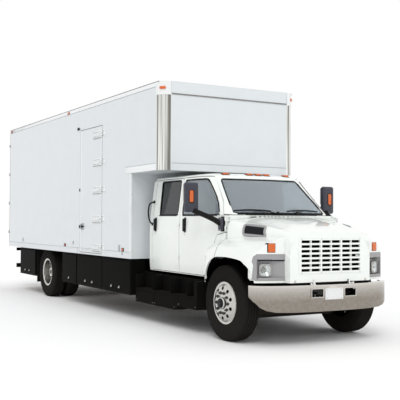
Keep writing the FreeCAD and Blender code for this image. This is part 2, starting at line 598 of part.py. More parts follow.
def make_bumper():
    """Build the front bumper."""
    low, high = v.bumper_low, v.bumper_top
    outer = bumper_curve(0, low)
    inner = bumper_curve(v.bumper_wall, low)
    ends = [Part.LineSegment(outer[-1], inner[-1]).toShape(),
            Part.LineSegment(inner[0], outer[0]).toShape()]
    wire = Part.Wire([spline(outer), ends[0], spline(inner), ends[1]])
    wall = Part.Face(wire).extrude(Vec(0, 0, high - low))
    far = v.bumper_end_x + v.cut_over
    near = v.bumper_end_x * bumper_low_shares[0][0]
    y_range = (v.bumper_front - v.cut_over, v.bumper_end_y + v.cut_over)
    for side in (1, -1):
        below = [(side * v.bumper_end_x * a, between(low, high, b)) for a, b in bumper_low_shares]
        below += [(side * far, below[-1][1]), (side * far, low - v.cut_over),
                  (side * near, low - v.cut_over)]
        hole = [(side * v.tow_hole_in, v.tow_hole_low), (side * v.tow_hole_out, v.tow_hole_low),
                (side * v.tow_hole_out, v.tow_hole_top), (side * v.tow_hole_in, v.tow_hole_top)]
        for points in (below, hole):
            wall = wall.cut(front_prism(points, *y_range))
    plate = box_shape(-v.plate_half, v.plate_half, v.bumper_front - v.plate_thick,
                      v.bumper_front + v.bumper_wall,
                      v.plate_low, v.plate_top)
    inner_wall = Part.Face(Part.Wire([spline(inner), Part.LineSegment(inner[-1],
            inner[0]).toShape()])).extrude(
        Vec(0, 0, high - low))
    back = bumper_curve(v.bumper_lip, high - v.bumper_wall)
    edge = bumper_curve(0, high - v.bumper_wall)
    ends = [Part.LineSegment(edge[-1], back[-1]).toShape(), Part.LineSegment(back[0], edge[0]).toShape()]
    lip = Part.Face(Part.Wire([spline(edge), ends[0], spline(back), ends[1]])).extrude(Vec(0, 0,
            v.bumper_wall))
    for side in (1, -1):
        xs = sorted((side * (v.hood_pin_x - v.hood_lug * 1.6),
                     side * (v.frame_half - v.frame_flange + v.hood_lug + v.shut_gap)))
        lip = lip.cut(box_shape(xs[0], xs[1], v.bumper_front + v.bumper_wall, v.bumper_end_y, low,
                                high + v.cut_over))
    shape = wall.multiFuse([plate, lip])
    for side in (1, -1):
        xs = sorted((side * (v.frame_half - v.frame_flange), side * v.frame_half))
        bracket = box_shape(xs[0], xs[1], v.bumper_front, v.frame_front, v.bracket_low, v.bracket_top)
        shape = shape.fuse(bracket.common(inner_wall))
    for side in (1, -1):
        x = side * (v.frame_half - v.frame_flange)
        xs = sorted((x, x + side * v.hood_lug))
        ear = box_shape(xs[0], xs[1], v.hood_pivot_y - v.hood_lug, v.hood_pivot_y + v.hood_lug,
                        v.bracket_low,
                        v.hood_pivot_z + v.hood_lug)
        pin_end = side * (v.hood_pin_x - v.hood_lug)
        pin = Part.makeCylinder(v.hood_pin_radius, abs(x - pin_end),
                                Vec(min(x, pin_end), v.hood_pivot_y, v.hood_pivot_z),
                                Vec(1, 0, 0))
        shape = shape.multiFuse([ear, pin])
    piece("front_bumper", shaped("bumper", shape))


# Steps and boxes under the cab

def make_steps():
    """Build the step boxes on both sides, bracketed to the rails."""
    box = padded("step_side", "YZ_Plane", [
        ("step_front", "step_front_low"), ("step_break", "step_front_low"),
        ("step_break + step_tread / 3", "step_low"),
        ("step_rear", "step_low"), ("step_rear", "step_top"), ("step_front", "step_top")], "step_in",
        "step_out")
    tread = block("tread_cut", "step_out - step_tread", "step_out + cut_over",
                  "step_front + step_tread / 2",
                  "step_rear + cut_over", "step_top - step_rise", "step_top + cut_over")
    arm = block("step_arm", "frame_half", "step_in", "step_break", "step_rear - step_tread",
                "frame_top - frame_height + frame_wall", "step_top - frame_wall")
    left = fused("step_left", [cut("step_cut", box, [tread]), arm])
    piece("step_boxes", grouped("steps", [left, mirrored("step_twin", left)]))


# Cab: a hollow shell from the belt outline up to the eaves and roof

def cab_outline(z, half, nose_y, corner_x, corner_y, flank_y, inset):
    """Return a closed outline of the cab at one height: a smooth line round the front, straight behind."""
    half, corner_x = half - inset, corner_x - inset * 0.75
    nose_y, corner_y, flank_y = nose_y + inset, corner_y + inset, flank_y + inset / 2
    rear = v.cab_rear - inset
    points = [Vec(half, rear, z), Vec(half, between(rear, flank_y, 0.45), z),
              Vec(half, between(rear, flank_y, 0.8), z),
              Vec(half, flank_y, z), Vec(between(corner_x, half, 0.82), between(corner_y, flank_y, 0.38),
                                         z),
              Vec(corner_x, corner_y, z), Vec(corner_x * 0.72, between(nose_y, corner_y, 0.47), z),
              Vec(corner_x * 0.36, between(nose_y, corner_y, 0.11), z)]
    whole = points + [Vec(0, nose_y, z)] + [Vec(-p.x, p.y, p.z) for p in reversed(points)]
    return Part.Wire([spline(whole), Part.LineSegment(whole[-1], whole[0]).toShape()])


def sill_outline(z, inset):
    """Return the outline at the windshield's base."""
    return cab_outline(z, v.sill_half, v.nose_y, v.corner_x, v.corner_y, v.flank_y, inset)


def eave_outline(z, inset):
    """Return the outline at the roof's edge."""
    return cab_outline(z, v.eave_half, v.eave_nose_y, v.eave_corner_x, v.eave_corner_y, v.eave_flank_y,
                       inset)


def cab_volume(inset):
    """Build the cab as a solid, moved inwards by an inset."""
    levels = [(v.cab_low + inset, v.cab_half * 0.985), (v.cab_low + v.cab_wall * 3, v.cab_half),
              (between(v.cab_low, v.cab_belt, 0.64), v.cab_half * 1.004),
              (v.cab_belt - inset, v.cab_half * 0.992)]
    wires = [Part.makePolygon([Vec(half - inset, v.cab_front + inset, z),
                               Vec(half - inset, v.cab_rear - inset, z),
                               Vec(inset - half, v.cab_rear - inset, z),
                               Vec(inset - half, v.cab_front + inset, z),
                               Vec(half - inset, v.cab_front + inset, z)]) for z, half in levels]
    lower = Part.makeLoft(wires, True, True)
    toe = [(v.cab_front - v.cut_over, v.cab_low - v.cut_over), (v.toe_y + inset, v.cab_low - v.cut_over),
           (v.toe_y + inset, v.cab_low + inset), (v.toe_mid_y + inset, v.toe_mid_z + inset),
           (v.cab_front + inset, v.toe_top_z + inset), (v.cab_front - v.cut_over, v.toe_top_z + inset)]
    tunnel = box_shape(-v.tunnel_half - inset, v.tunnel_half + inset, v.cab_front - v.cut_over,
                       v.cab_rear + v.cut_over,
                       v.cab_low - v.cut_over, v.frame_top + inset)
    lower = lower.cut([side_prism(toe, -v.cab_half - v.cut_over, v.cab_half + v.cut_over), tunnel])
    cowl = Part.makeLoft([sill_outline(v.cab_belt - v.cab_wall + inset, inset),
                          sill_outline(v.cab_sill, inset)], True, True)
    rise = v.cab_top - v.eave_height
    crown = [eave_outline(v.eave_height + (rise - inset) * a, inset + v.eave_half * 0.5 * b) for a,
             b in crown_shares]
    upper = Part.makeLoft([sill_outline(v.cab_sill, inset), crown[0]], True, True)
    roof = Part.makeLoft(crown, True, True)
    parts = [cowl, upper, roof]
    if inset > 0:
        low = v.cab_belt - 2 * inset
        link = Part.Face(sill_outline(low, inset)).extrude(Vec(0, 0, v.cab_belt - low))
        parts.append(link.common(box_shape(-v.cab_half, v.cab_half, v.cab_front + inset, v.cab_rear,
                                           low - v.cut_over,
                                           v.cab_sill)))
    return lower.multiFuse(parts).removeSplitter()


def door_points(rear):
    """Return a front or rear cab door's outline seen from the side."""
    if rear:
        return [(v.pillar_rear, v.door_low), (v.rear_door_end, v.door_low), (v.rear_door_end, v.door_top),
                (v.pillar_rear, v.door_top)]
    return [(v.toe_y + v.shut_gap, v.door_low), (v.toe_y, v.toe_mid_z),
            (v.toe_y * 0.95, v.cab_belt * 0.762),
            (v.toe_mid_y * 1.075, v.cab_belt * 0.84), (v.door_front, v.cab_belt * 0.862),
            (v.door_front, v.cab_belt - v.shut_gap / 2),
            (v.corner_y * 1.27, v.cab_belt + v.shut_gap), (v.corner_y * 1.82,
                                                           between(v.cab_belt, v.door_top, 0.34)),
            (v.eave_corner_y + v.cab_wall, v.door_top), (v.pillar_front, v.door_top),
            (v.pillar_front, v.door_low)]


def window_points(rear, grow):
    """Return a side window's outline, grown or shrunk by a margin."""
    if rear:
        low_y, high_y = v.pillar_rear + v.cab_wall * 1.22 - grow, v.rear_door_end - v.cab_wall * 5 + grow
        return [(low_y, v.window_low - grow), (high_y, v.window_low - grow),
                (high_y + v.cab_wall * 0.6, v.window_top + grow),
                (low_y + v.cab_wall * 0.1, v.window_top + grow)]
    return [(v.corner_y * 1.47 - grow, v.window_low - grow), (v.corner_y * 1.95 - grow,
            between(v.window_low, v.window_top, 0.32)),
            (v.eave_corner_y + v.cab_wall * 2 - grow, v.window_top + grow),
            (v.pillar_front - v.cab_wall * 1.4 + grow, v.window_top + grow),
            (v.pillar_front - v.cab_wall * 1.4 + grow, v.window_low - grow)]


def grown(points, margin):
    """Move each corner of an outline away from its middle by a margin along y and z."""
    mid_y = sum(y for y, z in points) / len(points)
    mid_z = sum(z for y, z in points) / len(points)
    return [(y + math.copysign(margin, y - mid_y), z + math.copysign(margin, z - mid_z)) for y, z in points]


def hinge_shapes(axis_y, heights, way):
    """Return the door's barrels, the pillar's pins and ears, and the pockets for one left cab door."""
    barrels, pins, pockets = [], [], []
    x = v.door_axis_x
    for z in heights:
        barrel = Part.makeCylinder(v.hinge_radius, v.hinge_height, Vec(x, axis_y, z))
        leaf = box_shape(x - v.hinge_radius * 1.8, x, axis_y, axis_y + v.hinge_radius * 3, z,
                         z + v.hinge_height)
        bore = Part.makeCylinder(v.pin_radius + v.fit_gap, v.hinge_height, Vec(x, axis_y, z))
        barrels.append(barrel.fuse(leaf).cut(bore))
        low = z - v.fit_gap - v.hinge_ear
        pin = Part.makeCylinder(v.pin_radius, v.hinge_height + 2 * v.fit_gap + 2 * v.hinge_ear,
                                Vec(x, axis_y, low))
        for ear_low in (low, z + v.hinge_height + v.fit_gap):
            ear = Part.makeCylinder(v.hinge_radius, v.hinge_ear, Vec(x, axis_y, ear_low))
            arm = box_shape(x - v.cab_wall * way, x, axis_y - v.hinge_radius, axis_y + v.hinge_radius,
                            ear_low,
                            ear_low + v.hinge_ear)
            pin = pin.fuse([ear, arm])
        pins.append(pin)
        pockets.append(box_shape(x - v.hinge_radius * 2.4, x + v.hinge_radius * 2,
                                 axis_y - v.hinge_radius * 1.3,
                                 axis_y + v.hinge_radius * 4, z - v.fit_gap,
                                 z + v.hinge_height + v.fit_gap))
    return barrels, pins, pockets


def door_zone(points, margin):
    """Return the space of a left door: its side below the belt, and the slanted frame above it."""
    reach = v.cab_half + v.cut_over
    whole = side_prism(points, v.corner_x * 0.8 - margin, reach)
    inner = box_shape(0, v.cab_half - v.cab_wall - v.shut_gap * 2 - margin, 0, v.cab_rear, 0,
                      v.cab_belt + v.shut_gap - margin)
    return whole.cut(inner)


def make_cab():
    """Build the cab shell, its four doors and the glass."""
    outer = cab_volume(0)
    wall = outer.cut(cab_volume(v.cab_wall))
    glass_skin = cab_volume(v.glass_inset).cut(cab_volume(v.glass_inset + v.glass_thick))
    reach = v.cab_half + v.cut_over
    inside = v.corner_x * 0.8
    cutters, fixed = [], []
    for rear, name, axis_y, heights in ((False, "front", v.front_axis_y,
                                         (v.cab_belt * 0.88, v.cab_belt * 0.96)),
                                        (True, "rear", v.rear_axis_y,
                                         (v.cab_low + v.cab_wall * 5, v.cab_belt * 0.9))):
        points = door_points(rear)
        window = side_prism(window_points(rear, 0), inside, reach)
        leaf = wall.common(door_zone(points, 0)).cut(window)
        barrels, pins, pockets = hinge_shapes(axis_y, heights, 0.4 if rear else 2)
        handle = box_shape(v.cab_half - v.cab_wall / 2, v.cab_half + v.handle_out, 0, v.handle_width,
                           v.handle_low, v.handle_top)
        handle_y = v.rear_door_end - v.cab_wall * 2.8 if rear else v.pillar_front - v.cab_wall * 4.2
        handle.translate(Vec(0, handle_y, 0))
        leaf = leaf.multiFuse(barrels + [handle]).removeSplitter()
        piece(f"left_{name}_door", shaped(f"{name}_door", leaf))
        pane = glass_skin.common(side_prism(window_points(rear, -v.fit_gap), inside, reach))
        piece(f"left_{name}_glass", shaped(f"{name}_glass", pane))
        cutters += both_sides(door_zone(grown(points, v.shut_gap), v.shut_gap))
        for pin in pins:
            fixed += both_sides(pin)
        for pocket in pockets:
            cutters += both_sides(pocket)
    screen = [(-v.corner_x * 0.97, v.cab_sill + v.shut_gap * 1.5),
              (v.corner_x * 0.97, v.cab_sill + v.shut_gap * 1.5),
              (v.eave_corner_x * 0.965, v.eave_height - v.shut_gap * 1.5),
              (-v.eave_corner_x * 0.965, v.eave_height - v.shut_gap * 1.5)]
    back = [(-v.corner_x * 0.7, v.window_low + v.cab_wall), (v.corner_x * 0.7, v.window_low + v.cab_wall),
            (v.corner_x * 0.7, v.window_top - v.cab_wall), (-v.corner_x * 0.7, v.window_top - v.cab_wall)]
    back_range = (v.cab_rear - v.cab_wall * 2, v.cab_rear + v.cut_over)
    cutters += [front_prism(screen, 0, v.eave_flank_y), front_prism(back, *back_range)]
    shell = wall.cut(cutters).multiFuse(fixed).removeSplitter()
    piece("cab_shell", shaped("cab_walls", shell))
    panes = [glass_skin.common(front_prism(inner_outline(screen, v.fit_gap), 0, v.eave_flank_y)),
             glass_skin.common(front_prism(inner_outline(back, v.fit_gap), *back_range))]
    piece("cab_glass", shaped("cab_panes", Part.makeCompound(panes)))


def inner_outline(points, margin):
    """Shrink an outline of (x, z) corners by a margin."""
    mid = sum(z for x, z in points) / len(points)
    return [(x - math.copysign(margin, x), z - math.copysign(margin, z - mid)) for x, z in points]


# Cab furniture

def make_furniture():
    """Build the dashboard with its steering wheel, and the seats."""
    dash = block("dash", "-dash_half", "dash_half", "cab_front + cab_wall",
                 "cab_front + cab_wall + dash_depth", "dash_low", "dash_top")
    hub_y = v.cab_front + v.cab_wall + v.dash_depth + v.wheel_radius
    ring = Part.makeTorus(v.wheel_radius, v.wheel_rod, Vec(v.seat_x, hub_y, v.dash_top), Vec(0, 1, 1))
    column = Part.makeCylinder(v.column_radius, v.wheel_radius * 1.6, Vec(v.seat_x, hub_y, v.dash_top),
                               Vec(0, -1, -1))
    spokes = [Part.makeCylinder(v.wheel_rod, v.wheel_radius, Vec(v.seat_x, hub_y, v.dash_top), way)
              for way in (Vec(1, 0, 0), Vec(-1, 0, 0), Vec(0, 1, -1))]
    wheel = shaped("steering_wheel", ring.multiFuse([column] + spokes))
    piece("dashboard", fused("dash_joined", [dash, wheel]))
    seats = []
    floor, tunnel = "cab_low + cab_wall", "frame_top + cab_wall"
    edge = "tunnel_half + cab_wall + fit_gap"
    for side in ("1", "-1"):
        left, right = f"{side} * seat_x - seat_half", f"{side} * seat_x + seat_half"
        near, far = (edge, "seat_x + seat_half") if side == "1" else ("-(seat_x + seat_half)", f"-({edge})")
        name = "seat_l" if side == "1" else "seat_r"
        seats.append(fused(name, [
            block(name + "_base", left, right, "seat_front", "seat_back", tunnel, "cushion_top"),
            block(name + "_foot", near, far, "seat_front", "seat_back", floor, tunnel),
            block(name + "_back", left, right, "seat_back - back_thick", "seat_back", "cushion_top",
                  "back_top")]))
    seats.append(fused("bench", [
        block("bench_base", "-bench_half", "bench_half", "bench_front", "bench_back", tunnel,
              "cushion_top"),
        block("bench_foot_l", edge, "bench_half", "bench_front", "bench_back", floor, tunnel),
        block("bench_foot_r", "-bench_half", f"-({edge})", "bench_front", "bench_back", floor, tunnel),
        block("bench_back", "-bench_half", "bench_half", "bench_back - back_thick", "bench_back",
              "cushion_top", "back_top")]))
    piece("seats", grouped("seat_set", seats))


# Lamps on the cab roof

def make_roof_lamps():
    """Build the row of marker lamps along the roof's front edge."""
    roof = cab_volume(0)
    lamps = []
    rise = v.cab_top - v.eave_height
    for share in (-0.78, -0.22, 0.0, 0.22, 0.78):
        x = share * v.eave_corner_x
        y = v.eave_nose_y + (v.eave_corner_y - v.eave_nose_y) * share * share + rise * 1.05
        lamp = box_shape(x - v.lamp_long / 2, x + v.lamp_long / 2, y - v.lamp_tall, y + v.lamp_tall,
                         v.eave_height,
                         v.cab_top - rise * 0.08)
        lamps.append(lamp.cut(roof))
    piece("roof_lamps", shaped("roof_lamp_row", Part.makeCompound([max(item.Solids,
            key=lambda s: s.CenterOfMass.z)
                                                                   for item in lamps])))


# Mirrors on the front doors

def make_mirror():
    """Build the left mirror: base, arm and head."""
    base = box_shape(v.cab_half - v.fit_gap, v.cab_half + v.base_out, v.base_front, v.base_rear,
                     v.base_low, v.base_top)
    start = Vec(v.cab_half + v.base_out - v.arm_radius, (v.base_front + v.base_rear) / 2,
                between(v.base_low, v.base_top, 0.5))
    end = Vec(v.mirror_x - v.mirror_half * 0.4, v.mirror_y, v.mirror_low + v.arm_radius)
    run = end - start
    arm = Part.makeCylinder(v.arm_radius, run.Length, start, run)
    head = box_shape(v.mirror_x - v.mirror_half, v.mirror_x + v.mirror_half,
                     v.mirror_y - v.mirror_thick / 2,
                     v.mirror_y + v.mirror_thick / 2, v.mirror_low, v.mirror_top)
    head = head.makeFillet(v.mirror_thick * 0.42, [e for e in head.Edges])
    mirror = base.multiFuse([arm, head]).cut(cab_volume(-v.fit_gap)).removeSplitter()
    piece("left_mirror", shaped("mirror", mirror))


# Hood, fenders, grille and front lamps

def hood_body(inset):
    """Build the hood's middle as a loft of cross-sections."""
    wires = []
    for along, wide, rise in hood_station_shares:
        y = between(v.hood_front + inset, v.hood_rear + (v.cut_over if inset else 0), along)
        half = between(v.hood_half, v.hood_rear_half, wide) - inset
        shoulder = between(v.shoulder_front, v.shoulder_rear, rise) - inset
        crown = between(v.crown_front, v.crown_rear, rise) - inset
        low = v.hood_low - (v.cut_over if inset else 0)
        points = [Vec(half * a, y, between(low, shoulder, b)) for a, b in hood_section_shares]
        points += [Vec(half * 0.5, y, between(shoulder, crown, 0.75))]
        whole = points + [Vec(0, y, crown)] + [Vec(-p.x, p.y, p.z) for p in reversed(points)]
        wires.append(Part.Wire([spline(whole), Part.LineSegment(whole[-1], whole[0]).toShape()]))
    return Part.makeLoft(wires, True, False)


def fender_plan(inset, rear):
    """Return the left fender's outline seen from above as an extruded solid."""
    width = v.fender_half - v.fender_in
    depth = v.hood_rear * 2 + v.cut_over
    points = [Vec(v.fender_in + (width - inset) * a, v.fender_front + inset + depth * b,
                  v.hood_low - v.cut_over)
              for a, b in fender_plan_shares]
    edges = [spline(points)]
    if rear:
        centre = Vec(v.door_axis_x, v.front_axis_y, points[0].z)
        radius = v.tail_radius - inset
        out = v.fender_half - inset
        turn_y = centre.y + math.sqrt(radius ** 2 - (out - centre.x) ** 2)
        end = Vec(centre.x, centre.y + radius, centre.z)
        half_angle = (math.atan2(turn_y - centre.y, out - centre.x) + math.pi / 2) / 2
        middle = centre + Vec(math.cos(half_angle), math.sin(half_angle), 0) * radius
        corner = Vec(out, turn_y, centre.z)
        edges.append(Part.LineSegment(points[-1], corner).toShape())
        edges.append(Part.Arc(corner, middle, end).toShape())
        last = Vec(v.fender_in, end.y, end.z)
        edges.append(Part.LineSegment(end, last).toShape())
    else:
        corner = Vec(points[-1].x, v.hood_rear, points[-1].z)
        last = Vec(v.fender_in, v.hood_rear, points[-1].z)
        edges.append(Part.LineSegment(points[-1], corner).toShape())
        edges.append(Part.LineSegment(corner, last).toShape())
    edges.append(Part.LineSegment(last, points[0]).toShape())
    return Part.Face(Part.Wire(edges)).extrude(Vec(0, 0, v.crown_rear - v.hood_low))


def fender_top(inset):
    """Build the solid under the fender's domed top."""
    low = v.hood_low - v.cut_over
    wires = []
    tail_end = v.front_axis_y + v.tail_radius
    for y, share, high in ((v.fender_front - v.cut_over, 0.0, v.shoulder_front),
                           (between(v.fender_front, v.hood_rear, 0.45), 0.5, v.shoulder_front * 1.005),
                           (v.hood_rear, 1.0, v.shoulder_front * 0.995),
                           (tail_end + v.cut_over, 1.0, v.shoulder_front * 0.925)):
        points = []
        for a, front, back in fender_top_shares:
            x = v.fender_in + (v.fender_half * 1.0008 - inset - v.fender_in) * a
            points.append(Vec(x, y, between(low, high - inset, between(front, back, share))))
        foot = [Vec(points[-1].x, y, low), Vec(v.fender_in, y, low)]
        wires.append(Part.Wire([spline(points), Part.LineSegment(points[-1], foot[0]).toShape(),
                                Part.LineSegment(foot[0], foot[1]).toShape(),
                                Part.LineSegment(foot[1], points[0]).toShape()]))
    return Part.makeLoft(wires, True, False)


def both_sides(shape):
    """Return a shape with its mirror image."""
    return [shape, shape.mirror(Vec(0, 0, 0), Vec(1, 0, 0))]


def arch_prism():
    """Build the wheel arch's cutter for the left side."""
    half = v.tyre_radius * 0.84
    low = v.hood_low - v.cut_over * 3
    points = [Vec(v.kingpin_x, half * a, between(low, v.tyre_radius * 2.21, b)) for a, b in arch_shares]
    wire = Part.Wire([spline(points), Part.LineSegment(points[-1], points[0]).toShape()])
    return Part.Face(wire).extrude(Vec(v.fender_half - v.kingpin_x + v.cut_over, 0, 0))


def tyre_sweep():
    """Build the space that the left front tyre sweeps about its kingpin, with the shut gap round it."""
    reach = v.front_rim_face - v.rim_width / 2 - v.kingpin_x + v.tread_half
    levels = [v.tyre_radius * (1 + share) for share in sweep_shares]
    points = [Vec(0, 0, levels[0])]
    for z in levels:
        chord = v.tyre_radius ** 2 - (z - v.tyre_radius) ** 2
        points.append(Vec(math.sqrt(chord + reach ** 2) + v.shut_gap, 0, z))
    points.append(Vec(0, 0, levels[-1]))
    space = Part.Face(Part.makePolygon(points + points[:1])).revolve(Vec(0, 0, 0), Vec(0, 0, 1), 360)
    space.translate(Vec(v.kingpin_x, 0, 0))
    return space


def make_hood():
    """Build the tilting hood with its fenders, the fixed fender tails and what the hood carries."""
    wall = v.hood_wall
    fender_out = fender_plan(0, False).common(fender_top(0))
    fender_in = fender_plan(wall, True).common(fender_top(wall))
    below = box_shape(-v.fender_half, v.fender_half, v.hood_front - v.cut_over, v.tail_radius * 2, 0,
                      v.hood_low)
    outer = hood_body(0).multiFuse(both_sides(fender_out)).cut(below)
    inner = hood_body(wall).multiFuse(both_sides(fender_in))
    shell = outer.cut(inner)
    cutters = both_sides(arch_prism())
    cutters.append(Part.Face(sill_outline(v.cab_belt * 0.8, -v.hood_seam)).extrude(Vec(0, 0, v.crown_rear)))
    cutters.append(box_shape(-v.grille_half, v.grille_half, v.hood_front - v.cut_over,
                             v.hood_front + v.cut_over,
                             v.grille_low, v.grille_top))
    vents = []
    bezels = []
    lenses = []
    turns = []
    front = v.fender_front - v.cut_over
    skin = fender_out.cut(fender_plan(wall / 2, True).common(fender_top(wall / 2))).cut(hood_body(0))
    bezel_cut = front_prism([(v.bezel_in, v.bezel_low), (v.bezel_out - v.bezel_round, v.bezel_low),
                             (v.bezel_out, v.bezel_low + v.bezel_round),
                             (v.bezel_out, v.bezel_top - 3 * v.bezel_round),
                             (v.bezel_out - v.bezel_round * 0.4, v.bezel_top - v.bezel_round),
                             (v.bezel_out - v.bezel_round * 1.6, v.bezel_top),
                             (v.bezel_in * 1.06, v.bezel_top)],
                            front, v.fender_front + v.cut_over * 4)
    lens_cut = front_prism([(v.lens_x - v.lens_half, v.lens_z - v.lens_half),
                            (v.lens_x + v.lens_half, v.lens_z - v.lens_half),
                            (v.lens_x + v.lens_half, v.lens_z + v.lens_half),
                            (v.lens_x - v.lens_half, v.lens_z + v.lens_half)],
                           front, v.fender_front + v.cut_over * 4)
    turn_cut = front_prism([(v.turn_x - v.turn_half_x, v.turn_z - v.turn_half_z),
                            (v.turn_x + v.turn_half_x, v.turn_z - v.turn_half_z),
                            (v.turn_x + v.turn_half_x, v.turn_z + v.turn_half_z),
                            (v.turn_x - v.turn_half_x, v.turn_z + v.turn_half_z)],
                           front, v.fender_front + v.cut_over * 2.2)
    vent_cut = side_prism([(v.vent_front, v.vent_low), (v.vent_rear, v.vent_low * 1.015),
                           (v.vent_rear, v.vent_top * 1.02), (v.vent_front * 0.92, v.vent_top)],
                          v.hood_half, v.hood_rear_half)
    hood_skin = hood_body(0).cut(hood_body(wall * 0.6))
    deep = fender_out.common(bezel_cut).cut([fender_plan(v.bezel_deep, True), hood_body(0)])
    deep_wall = fender_plan(v.scoop_deep, True)
    scoop_line = [(v.scoop_in, v.fender_front), (between(v.scoop_in, v.scoop_out, 0.5),
                                                 v.fender_front + v.scoop_deep * 1.6),
                  (v.scoop_out, v.fender_front + v.scoop_deep * 4),
                  (v.scoop_out, v.fender_front - v.cut_over),
                  (v.scoop_in, v.fender_front - v.cut_over)]
    scoop = plan_prism(scoop_line, v.scoop_low, v.scoop_top).cut(deep_wall)
    bezel = deep.cut(scoop)
    lens = scoop.common(lens_cut).common(fender_plan(v.lens_sunk, True))
    turn = skin.common(turn_cut)
    vent = hood_skin.common(vent_cut)
    for item in (deep, turn, vent):
        cutters += both_sides(item)
    shell = shell.cut(cutters)
    for store, item in ((bezels, bezel), (lenses, lens), (turns, turn), (vents, vent)):
        store.extend(both_sides(item))
    lugs = []
    for side in (1, -1):
        x = side * v.hood_pin_x
        lug = Part.makeCylinder(v.hood_lug * 0.9, v.hood_lug,
                                Vec(x - v.hood_lug / 2, v.hood_pivot_y, v.hood_pivot_z), Vec(1, 0, 0))
        bore = Part.makeCylinder(v.hood_pin_radius + v.fit_gap, v.hood_lug * 2,
                                 Vec(x - v.hood_lug, v.hood_pivot_y, v.hood_pivot_z), Vec(1, 0, 0))
        link = box_shape(x - v.hood_lug / 2, x + v.hood_lug / 2, v.hood_pivot_y - v.hood_lug / 2,
                         v.hood_front + v.hood_wall,
                         v.hood_pivot_z, v.hood_low + v.hood_wall)
        lugs.append(lug.fuse(link).cut(bore))
    shell = shell.multiFuse(lugs)
    piece("hood_shell", shaped("hood", shell.removeSplitter()))
    piece("headlamp_bezels", shaped("bezels", Part.makeCompound(bezels)))
    piece("headlamps", shaped("lenses", Part.makeCompound(lenses)))
    piece("turn_lamps", shaped("turns", Part.makeCompound(turns)))
    piece("hood_vents", shaped("vents", Part.makeCompound(vents)))
    tail_out = fender_plan(0, True).common(fender_top(0))
    tail_zone = box_shape(v.cab_half * 1.004, v.fender_half, v.tail_front, v.front_axis_y + v.tail_radius,
                          v.hood_low - v.cut_over * 1.2,
                          v.crown_rear)
    tail = tail_out.cut(fender_in).common(tail_zone).cut(arch_prism())
    rib = tail_out.common(box_shape(v.cab_half * 1.004, v.cab_half + v.cab_wall, v.tail_front,
                                    v.front_axis_y + v.tail_radius,
                                    v.tyre_radius * 2.15, v.crown_rear))
    tail = tail.fuse(rib).cut(tyre_sweep()).removeSplitter()
    piece("fender_tails", shaped("tails", Part.makeCompound(both_sides(tail))))


def make_grille():
    """Build the grille: rows of slots in three pairs, cut through one plate."""
    plate = box_shape(-v.grille_half + v.fit_gap, v.grille_half - v.fit_gap,
                      v.hood_front - v.grille_thick / 3,
                      v.hood_front + v.grille_thick, v.grille_low + v.fit_gap, v.grille_top - v.fit_gap)
    rows = int(v.grille_rows)
    pitch_z = (v.grille_top - v.grille_low - v.slot_gap) / rows
    usable = 2 * v.grille_half - 2 * v.slot_gap
    pair = usable / 3
    slot = (pair - v.slot_gap * 1.5) / 2
    cutters = []
    for row in range(rows):
        z = v.grille_low + v.slot_gap + row * pitch_z
        for column in range(6):
            x = -v.grille_half + v.slot_gap + (column // 2) * pair
            x = x + (column % 2) * (slot + v.slot_gap / 2) + v.slot_gap / 2
            cutters.append(box_shape(x, x + slot, v.hood_front - v.grille_thick,
                                     v.hood_front + v.grille_thick * 2, z,
                                     z + pitch_z - v.slot_gap))
    piece("grille", shaped("grille_plate", plate.cut(Part.makeCompound(cutters))))


# Van body: floor, walls, roof, corner posts and rear frame

def make_box():
    """Build the hollow van body, split where its panels meet."""
    inner = "box_half - box_wall"
    floor = block("floor", "-(" + inner + ")", inner, "box_front + box_wall", "box_rear - box_wall",
                  "floor_low", "floor_top")
    sills = [block(f"floor_sill_{i}", f"{way} * frame_half - frame_flange / 2",
                   f"{way} * frame_half + frame_flange / 2",
                   "box_front + box_wall", "box_rear - box_wall", "frame_top", "floor_low") for i,
                   way in enumerate(("1", "-1"))]
    piece("box_floor", fused("floor_joined", [floor] + sills))
    turn_y = v.nose_front + v.post_radius
    wall_points = [(v.box_front, v.box_low), (v.box_rear - v.box_wall, v.box_low),
                   (v.box_rear - v.box_wall, v.box_top - v.roof_thick),
                   (turn_y, v.box_top - v.roof_thick), (turn_y, v.nose_low), (v.box_front, v.nose_low)]
    left = side_prism(wall_points, v.box_half - v.box_wall, v.box_half)
    piece("box_left_wall", shaped("left_wall", left))
    right = side_prism(wall_points, -v.box_half, -v.box_half + v.box_wall)
    opening = box_shape(-v.box_half - v.cut_over, -v.box_half + v.box_wall + v.cut_over,
                        v.side_front - v.shut_gap,
                        v.side_rear + v.shut_gap, v.side_low - v.shut_gap, v.side_top + v.shut_gap)
    pins = side_hinges()[1]
    piece("box_right_wall", shaped("right_wall", right.cut(opening).multiFuse(pins)))
    half_inner = v.box_half - v.box_wall
    front = box_shape(-half_inner, half_inner, v.box_front, v.box_front + v.box_wall, v.box_low, v.nose_low)
    tray = box_shape(-half_inner, half_inner, v.nose_front + v.box_wall, v.box_front + v.box_wall,
                     v.nose_low,
                     v.nose_low + v.box_wall).cut(corner_waste(v.post_radius - v.box_wall, v.box_wall))
    flat = v.box_half - v.post_radius
    face = box_shape(-flat, flat, v.nose_front, v.nose_front + v.box_wall, v.nose_low,
                     v.box_top - v.roof_thick)
    piece("box_front", shaped("front_walls", front.multiFuse([tray, face]).removeSplitter()))
    roof = box_shape(-v.box_half, v.box_half, v.nose_front, v.box_rear - v.box_wall,
                     v.box_top - v.roof_thick, v.box_top)
    piece("box_roof", shaped("roof", roof.cut(corner_waste(v.post_radius, 0))))
    posts = corner_rings(v.post_radius, v.post_radius - v.box_wall, v.nose_low, v.box_top - v.roof_thick)
    piece("corner_posts", shaped("posts", Part.makeCompound(posts)))
    casts = corner_rings(v.post_radius + v.cast_thick, v.post_radius, v.cast_low, v.box_top)
    piece("corner_castings", shaped("casts", Part.makeCompound(casts)))


